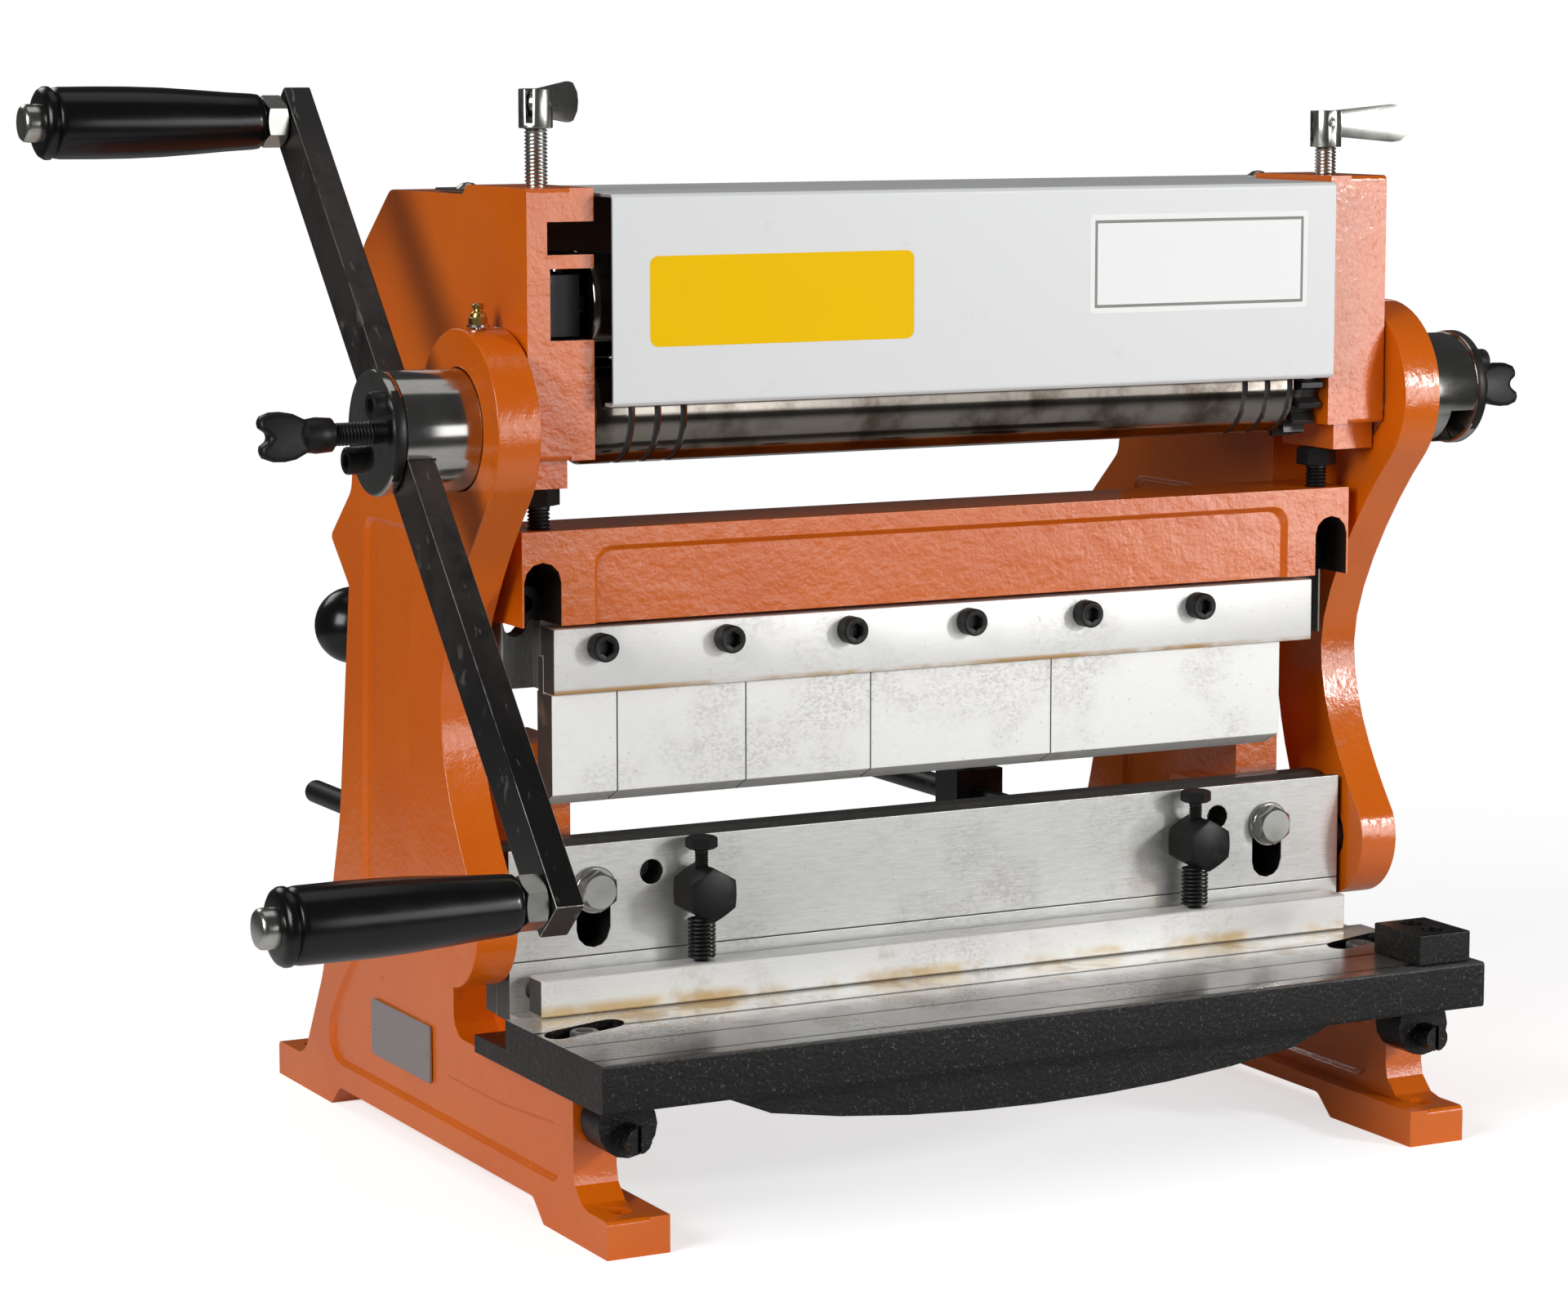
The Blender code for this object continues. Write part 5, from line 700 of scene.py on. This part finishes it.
bar_low, bar_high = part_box("clamp_bar")
face_y, back_y = bar_low[1] + 0.0060, -0.087874
first_x, pace = bar_low[0] + 0.0176, (bar_high[0] - bar_low[0] - 0.0697) / 5
bar = block((bar_low[0], face_y, bar_low[2]), (bar_high[0], back_y, bar_high[2]), 0.0006, 3)
paint(bar, 2, lambda at, way: abs(way.x) > 0.9)
screws = [tinted(socket_head((first_x + pace * index, bar_low[1], 0.1969), (0, 1, 0), 0.0050, 0.0060, 0.0030,
                             bar_high[1] - face_y), 1) for index in range(6)]
show("screwed_clamp_bar", gather(bar, *screws), [CLAMP, BLACK, DARK], ["clamp_bar"], sharp=28.0)
FINGER = milled("finger_steel", 246, 226, (2.0, 14.0, 14.0), 0.22, 0.45, 0.42, 0.4)
TIP = milled("finger_tip", 250, 176, (1.5, 16.0, 16.0), 0.7, 0.0, 0.5, 0.6)
for index in range(1, 6):
    dress(f"finger_{index}", [FINGER, TIP, DARK], 0.00025, 2, [
        lambda at, way: at.z < 0.1449 and way.z < -0.2,
        lambda at, way: abs(way.x) > 0.9])

# Jack bolts: blacked hexagon bolts that stand in the upper beam. Their heads bear against the
# frames' heads above and set the beam's height.
y, flat = -0.093374, 0.0130 / 2
for node in ("left_jack_bolt", "right_jack_bolt"):
    low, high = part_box(node)
    x = (low[0] + high[0]) / 2
    head = lathe([(0.0, 0.0), (0.0, flat * 0.94), (0.0002, flat, 0.5), (0.0066, flat, 0.0), (0.0068, 0.0060),
                  (0.0068, 0.0040), (0.0080, 0.0040), (0.0080, 0.0)], (x, y, high[2]), (0, 0, -1))
    cut_thread = thread((x, y, low[2]), (0, 0, 1), high[2] - 0.0070 - low[2], 0.0040, 0.00125)
    show("turned_" + node, gather(head, cut_thread), [BLACK], [node])

# Rolls: turned steel that mirrors the dark room, its colour painted darker than bare steel as a painted
# dark reflection, with wire grooves near the ends; spur gears of greased steel join the upper and the
# lower one. The bearing blocks are blacked.
ROLL = Finish("roll_steel_painted_dark")
turning = ROLL.noise(240.0, 3.0, 0.6, (9.0, 1.0, 1.0))
film = ROLL.noise(34.0, 4.0, 0.65)
ROLL.set(Base_Color=ROLL.mix(film.above(0.55, 0.12), tone(134, 128, 121), tone(84, 74, 65)), Metallic=1.0,
         Roughness=0.07 + turning * 0.07 + film * 0.03, Normal=ROLL.bump(turning, 0.05, 0.00005))
GROOVE = blacked("groove_grime", 0.7, 0.3, 62)
GREASED = blacked("greased_gear", 0.6, 0.25, 34)
full_radius = 0.0185


def grooved(ends, journals, journal, grooves):
    """Rings of a roll along X: chamfered ends, journals and round wire grooves."""
    chamfer = [(0.0, 0.0172), (0.0004, 0.0180), (0.0012, full_radius)]
    groove = [(0.0013, full_radius), (0.0010, 0.0181), (0.0005, 0.0175)]
    rings = [(journals[0], 0.0), (journals[0], journal), (ends[0], journal)]
    rings += [(ends[0] + inwards, radius) for inwards, radius in chamfer]
    for place in grooves:
        rings += [(place - off, radius) for off, radius in groove] + [(place, 0.0173)]
        rings += [(place + off, radius) for off, radius in groove[::-1]]
    rings += [(ends[1] - inwards, radius) for inwards, radius in chamfer[::-1]]
    return rings + [(ends[1], journal), (journals[1], journal), (journals[1], 0.0)]


ends = (centre_x - 0.1500, centre_x + 0.1390)
grooves = sorted(centre_x + side * (0.1160 + 0.0100 * index) for side in (-1, 1) for index in range(3))
for node, z, journal in (("lower_roll", 0.2795, 0.0125), ("upper_roll", 0.3168, 0.0090)):
    low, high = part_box(node)
    roll = lathe(grooved(ends, (low[0], high[0]), journal, grooves), (0.0, roll_y, z), (1, 0, 0), 72)
    paint(roll, 1, lambda at, way: (math.hypot(at.y - roll_y, at.z - z) < full_radius - 0.0003
                                    and ends[0] + 0.002 < at.x < ends[1] - 0.002))
    show("turned_" + node, roll, [ROLL, GROOVE], [node], sharp=34.0)
low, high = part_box("rear_roll")
rear_y, rear_z = (low[1] + high[1]) / 2, (low[2] + high[2]) / 2
rear_ends = (centre_x - 0.1500, centre_x + 0.1500)
roll = lathe(grooved(rear_ends, (low[0], high[0]), 0.0080, []), (0.0, rear_y, rear_z), (1, 0, 0), 72)
show("turned_rear_roll", roll, [ROLL], ["rear_roll"], sharp=34.0)
for node, finish, soft in (("lower_gear", GREASED, 0.0003), ("upper_gear", GREASED, 0.0003),
                           ("left_bearing_block", GREASED, 0.0006), ("right_bearing_block", GREASED, 0.0006),
                           ("left_slide_block", RAW, 0.0006), ("right_slide_block", RAW, 0.0006)):
    dress(node, [finish], soft, 2)

# Clamp screws: zinc-plated screws that press the upper roll down, each with a forked head and a
# flat folding paddle to turn it by.
for word, turn, foot in (("left", 42, 0.3770), ("right", -10, 0.3675)):
    node = f"{word}_clamp_screw"
    low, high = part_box(node)
    x = (low[0] + high[0]) / 2
    fork = merged(node)
    round_off(fork, (x, roll_y, foot), (0, 0, 1), 0.0059, 3)
    bmesh.ops.bisect_plane(fork, geom=fork.verts[:] + fork.edges[:] + fork.faces[:],
                           plane_co=(0, 0, foot + 0.0001), plane_no=(0, 0, -1), clear_outer=True)
    close(fork)
    ease(fork, 0.0004, 2, 50.0)
    screw = thread((x, roll_y, low[2]), (0, 0, 1), foot + 0.0008 - low[2], 0.0040, 0.00125)
    show("forked_" + node, gather(fork, screw), [ZINC], [node])
    paddle = merged(f"{word}_paddle")
    flat = Matrix.Rotation(math.radians(turn), 3, 'Z') @ Vector((0.0, 1.0, 0.0))
    ease(paddle, 0.0022, 4, 30.0, flat)
    ease(paddle, 0.0004, 2, 50.0)
    show(f"smooth_{word}_paddle", paddle, [ZINC], [f"{word}_paddle"], sharp=34.0)

# Hubs: chromed eccentric hubs on the lower roll's ends, each with a cap, two black socket screws
# and a cast wing screw through its middle that locks the crank bar.
CHROME = Finish("chrome")
streak = CHROME.noise(170.0, 4.0, 0.65, (0.4, 1.0, 1.0))
blur = CHROME.noise(30.0, 3.0, 0.6)
CHROME.set(Base_Color=CHROME.mix(streak, tone(158, 156, 153), tone(206, 205, 202)), Metallic=1.0,
           Roughness=0.07 + streak * 0.10 + blur * 0.05, Normal=CHROME.bump(streak, 0.06, 0.00006))
FACE = blacked("cap_black", 0.12, 0.30, 26)
# How far the crank bar leans from upright; the cap screws stand across it.
tilt = math.radians(41.75)
cross = Vector((0.0, math.cos(tilt), -math.sin(tilt)))
lobe_half, lobe_thick = 0.0083, 0.0072
for word, side in (("left", -1), ("right", 1)):
    hub = merged(f"{word}_hub")
    round_off(hub, (0, roll_y, hub_z), (1, 0, 0), 0.0210, 4)
    ease(hub, 0.0004, 2, 40.0)
    show(f"turned_{word}_hub", hub, [CHROME], [f"{word}_hub"], sharp=34.0)
    face_x = centre_x + side * 0.2252
    cap = lathe([(0.0, 0.0), (0.0, 0.0200), (0.0006, 0.0214), (0.0012, 0.0217), (0.0040, 0.0217),
                 (0.0046, 0.0214), (0.0049, 0.0208), (0.0049, 0.0)],
                (face_x, roll_y, hub_z), (-side, 0, 0), 96)
    paint(cap, 1, lambda at, way: way.x * side > 0.7)
    crown = Vector((face_x + side * 0.0048, roll_y, hub_z))
    screws = [tinted(socket_head(crown + cross * way * 0.0153, (-side, 0, 0), 0.0048, 0.0048, 0.0030,
                                 0.0133), 2) for way in (-1, 1)]
    show(f"capped_{word}_hub", gather(cap, *screws), [CHROME, FACE, BLACK], [f"{word}_hub_cap"], sharp=34.0)
    low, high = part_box(f"{word}_wing_screw")
    tip, end = (high[0], low[0]) if side < 0 else (low[0], high[0])
    root = end - side * 0.0265
    screw = thread((tip, roll_y, hub_z), (side, 0, 0), abs(root - tip) + 0.001, 0.0040, 0.00125)
    neck = lathe([(0.0, 0.0), (0.0, 0.0050), (0.0006, 0.0058), (0.0060, 0.0062), (0.0100, 0.0056),
                  (0.0130, 0.0)], (root, roll_y, hub_z), (side, 0, 0), 32)
    lobe = [(0.0, 0.0040), (0.0045, 0.0056), (0.0085, 0.0076), (0.0125, lobe_half), (0.0165, 0.0082),
            (0.0198, 0.0070), (0.0211, 0.0050), (0.0204, 0.0030), (0.0184, 0.0016), (0.0172, 0.0)]
    wing = bmesh.new()
    rim = [wing.verts.new((out, -lobe_thick / 2, up))
           for out, up in lobe + [(out, -up) for out, up in lobe[-2::-1]]]
    face = wing.faces.new(rim)
    body = bmesh.ops.extrude_face_region(wing, geom=[face])["geom"]
    bmesh.ops.translate(wing, vec=(0.0, lobe_thick, 0.0),
                        verts=[item for item in body if isinstance(item, bmesh.types.BMVert)])
    ease(wing, 0.0017, 4, 40.0)
    bmesh.ops.triangulate(wing, faces=[face for face in wing.faces if len(face.verts) > 4])
    for corner in wing.verts:
        share = abs(corner.co.z) / lobe_half
        corner.co.y = corner.co.y * (1.0 - 0.30 * share) + 0.0013 * share * math.copysign(1.0, corner.co.z)
    place = Matrix.Translation((root + side * 0.0054, roll_y, hub_z))
    wing.transform(place @ Matrix.Scale(side, 4, (1, 0, 0)))
    bmesh.ops.recalc_face_normals(wing, faces=wing.faces)
    show(f"cast_{word}_wing_screw", gather(screw, neck, wing), [BLACK], [f"{word}_wing_screw"], sharp=50.0)

# Crank bar: a square-edged bar of blacked steel through a slot in the left hub, rubbed bright along
# its edges, with a black plastic grip turning on a spindle at each end.
BAR = Finish("crank_bar_black")
mill_scale = BAR.noise(70.0, 5.0, 0.68)
haze = BAR.noise(9.0, 3.0, 0.55, (1.0, 0.4, 0.4))
scuff = BAR.noise(240.0, 3.0, 0.7, (1.0, 0.25, 0.25)).above(0.66, 0.05)
rubbed = haze.above(0.56, 0.10) * mill_scale.above(0.42, 0.2)
colour = BAR.mix(mill_scale, tone(10, 9, 9), tone(28, 26, 25))
colour = BAR.mix(rubbed * 0.5, colour, tone(112, 104, 100))
BAR.set(Base_Color=BAR.mix(scuff * 0.4, colour, tone(140, 136, 130)), Metallic=0.2 + rubbed * 0.5,
        Roughness=0.25 + mill_scale * 0.14, Normal=BAR.bump(mill_scale, 0.18, 0.0002))
EDGE = Finish("rubbed_edge")
bright = EDGE.noise(130.0, 5.0, 0.75, (1.0, 0.3, 0.3)).above(0.47, 0.10)
EDGE.set(Base_Color=EDGE.mix(bright, tone(30, 28, 27), tone(184, 180, 174)), Metallic=0.3 + bright * 0.6,
         Roughness=0.28)
bar_way = Vector((0.0, math.sin(tilt), math.cos(tilt)))
bar = merged("crank_bar")
ease(bar, 0.0006, 3)
paint(bar, 1, lambda at, way: max(abs(way.x), abs(way.dot(bar_way)), abs(way.dot(cross))) < 0.96)
show("rubbed_crank_bar", bar, [BAR, EDGE], ["crank_bar"], sharp=28.0, even=True)
GRIP = Finish("grip_black")
smudge = GRIP.noise(70.0, 4.0, 0.6)
GRIP.set(Base_Color=GRIP.mix(smudge, tone(8, 8, 9), tone(17, 17, 19)), Roughness=0.17 + smudge * 0.12,
         Specular_IOR_Level=0.4, Normal=GRIP.bump(GRIP.noise(300.0, 2.0), 0.05, 0.0001))
nut = -0.1887
for word in ("upper", "lower"):
    low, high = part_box(f"{word}_grip")
    y, z = (low[1] + high[1]) / 2, (low[2] + high[2]) / 2
    grip = lathe([(0.0, 0.0048), (0.0, 0.0088), (0.0008, 0.0096), (0.0030, 0.0099), (0.0120, 0.0104),
                  (0.0240, 0.0113), (0.0360, 0.0121), (0.0480, 0.0125), (0.0600, 0.0126), (0.0735, 0.0125),
                  (0.0752, 0.0122), (0.0758, 0.0116), (0.0764, 0.0119), (0.0772, 0.0127), (0.0786, 0.0127),
                  (0.0800, 0.0119), (0.0807, 0.0108), (0.0810, 0.0090), (0.0810, 0.0048)],
                 (high[0], y, z), (-1, 0, 0), 64)
    bmesh.ops.bridge_loops(grip, edges=[edge for edge in grip.edges if edge.is_boundary])
    bmesh.ops.recalc_face_normals(grip, faces=grip.faces)
    show(f"turned_{word}_grip", grip, [GRIP], [f"{word}_grip"], sharp=40.0)
    low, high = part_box(f"{word}_spindle")
    tip = low[0] - nut
    spindle = lathe([(tip, 0.0), (tip, 0.0046), (tip + 0.0003, 0.0057), (tip + 0.0011, 0.0064),
                     (tip + 0.0022, 0.0066), (tip + 0.0056, 0.0067), (tip + 0.0059, 0.0067),
                     (tip + 0.0059, 0.0045), (-0.0082, 0.0045), (-0.0082, 0.0074),
                     (-0.0079, 0.0080, 0.5), (-0.0003, 0.0080, -0.5), (0.0, 0.0074), (0.0, 0.0045),
                     (high[0] - nut, 0.0045), (high[0] - nut, 0.0)], (nut, y, z), (1, 0, 0))
    show(f"turned_{word}_spindle", spindle, [ZINC], [f"{word}_spindle"], sharp=34.0)

# Rear roll screws: screws with black plastic ball knobs. They run up and forwards on a slope, one in
# each frame, and lift the slide blocks in which the rear roll turns.
slope = math.radians(42)
slide = Vector((0.0, -math.sin(slope), math.cos(slope)))
ball_radius, shank, shank_end = 0.0147, 0.0045, 0.0300 + 0.1000 - 0.0126 - 0.0003
for word in ("left", "right"):
    low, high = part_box(f"{word}_knob_screw")
    x = (low[0] + high[0]) / 2
    ball = Vector((x, 0.2285 + shift_y, 0.2085)) - slide * 0.0300
    first, last = math.acos(-0.90), math.asin(shank / ball_radius)
    rings = [(-0.01323, 0.0)]
    for step in range(25):
        angle = first + (last - first) * step / 24
        rings.append((ball_radius * math.cos(angle), ball_radius * math.sin(angle)))
    knob = lathe(rings + [(0.0155, shank), (0.0155, 0.0040), (shank_end, 0.0040), (shank_end, 0.0)],
                 ball, slide, 48)
    show(f"turned_{word}_knob_screw", knob, [GRIP], [f"{word}_knob_screw"], sharp=40.0)

# Guard: folded sheet steel under smooth light grey paint, held by two screws through its tabs. Two
# plain stickers on its front, one yellow and one white with a grey line, are left without words.
SHEET = Finish("guard_paint")
dull = SHEET.noise(26.0, 3.0)
wipe = SHEET.noise(40.0, 4.0, 0.7).above(0.66, 0.06)
SHEET.set(Base_Color=SHEET.mix(wipe * 0.25, SHEET.mix(dull, tone(226, 227, 227), tone(231, 232, 232)),
                               tone(206, 207, 206)), Roughness=0.34 + dull * 0.1,
          Normal=SHEET.bump(SHEET.noise(420.0), 0.10, 0.0001))
# Painted shade: a darker grey for the guard's inside faces and the front of its rear lip, where shade falls
# under the top.
GUARD_SHADE = Finish("guard_inside_painted_shade")
GUARD_SHADE.set(Base_Color=GUARD_SHADE.mix(GUARD_SHADE.noise(60.0, 4.0), tone(120, 121, 121), tone(150, 151, 151)),
           Roughness=0.5)
guard_low, guard_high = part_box("guard")
half_wide, under_top = 0.1475, 0.3546
guard = ease(merged("guard"), 0.0003)
paint(guard, 1, lambda at, way: (guard_low[1] + 0.0008 < at.y < guard_high[1] - 0.0008
                                 and guard_low[2] + 0.0008 < at.z < under_top))
paint(guard, 2, lambda at, way: at.z > 0.35545 or abs(at.x - centre_x) > 0.1626)
rear_lip = block((centre_x - half_wide, guard_high[1] - 0.0012, 0.3290),
                 (centre_x + half_wide, guard_high[1], under_top), 0.0003)
paint(rear_lip, 1, lambda at, way: way.y < -0.9)
show("folded_guard", gather(guard, rear_lip), [SHEET, GUARD_SHADE, ZINC], ["guard"], sharp=28.0, even=True)


def sticker(name, low, high, radius, finish, lines=None):
    """A thin sheet with round corners laid on the guard's front, with a line inside its edge."""
    label = bmesh.new()
    rings = []
    for inset, corner in ((0.0, radius), (0.0020, 0.0004), (0.0031, 0.0003))[:3 if lines else 1]:
        left, right = low[0] + inset + corner, high[0] - inset - corner
        foot, top = low[1] + inset + corner, high[1] - inset - corner
        ring = []
        for across, up, start in ((right, top, 0), (left, top, 90), (left, foot, 180), (right, foot, 270)):
            for angle in (math.radians(start + 18 * step) for step in range(6)):
                ring.append(label.verts.new((across + corner * math.cos(angle), guard_low[1] - 0.00015,
                                             up + corner * math.sin(angle))))
        rings.append(ring)
    for index, (outer, inner) in enumerate(zip(rings, rings[1:])):
        for spot in range(len(outer)):
            after = (spot + 1) % len(outer)
            label.faces.new((outer[spot], outer[after], inner[after], inner[spot])).material_index = index
    label.faces.new(rings[-1])
    label.normal_update()
    bmesh.ops.solidify(label, geom=label.faces[:], thickness=0.00012)
    bmesh.ops.recalc_face_normals(label, faces=label.faces)
    show(name, label, [finish, lines] if lines else [finish], [], body="frame",
         sharp=50.0)


def printed(name, first, second, rough):
    """Printed film in two close colours that run into each other."""
    coat = Finish(name)
    blotch = coat.noise(50.0, 3.0)
    return coat.set(Base_Color=coat.mix(blotch, first, second), Roughness=rough + blotch * 0.08,
                    Specular_IOR_Level=0.06)


YELLOW = printed("yellow_sticker", tone(255, 202, 0), tone(255, 206, 0), 0.45)
WHITE = printed("white_sticker", tone(253, 253, 252), tone(255, 255, 255), 0.32)
LINE = printed("grey_line", tone(140, 140, 135), tone(156, 156, 150), 0.4)
sticker("yellow_sticker", (-0.1027, 0.3030), (0.0003, 0.3340), 0.0030, YELLOW)
sticker("white_sticker", (0.0728, 0.3095), (0.1668, 0.3450), 0.0012, WHITE, LINE)

# Back gauge: a blacked flat bar on two blacked rods, which are screwed into the back of the ram. A
# clamp block with a thumb screw at each end of the bar holds it.
for node in ("left_gauge_rod", "right_gauge_rod"):
    low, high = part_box(node)
    x, z, long = (low[0] + high[0]) / 2, (low[2] + high[2]) / 2, high[1] - low[1]
    rod = lathe([(0.0, 0.0), (0.0, 0.0048), (long - 0.0010, 0.0048), (long, 0.0038), (long, 0.0)],
                (x, low[1], z), (0, 1, 0), 40)
    show("turned_" + node, rod, [BLACK], [node])
dress("back_gauge", [blacked("gauge_black", 0.35, 0.32, 30)], 0.0005, 2)
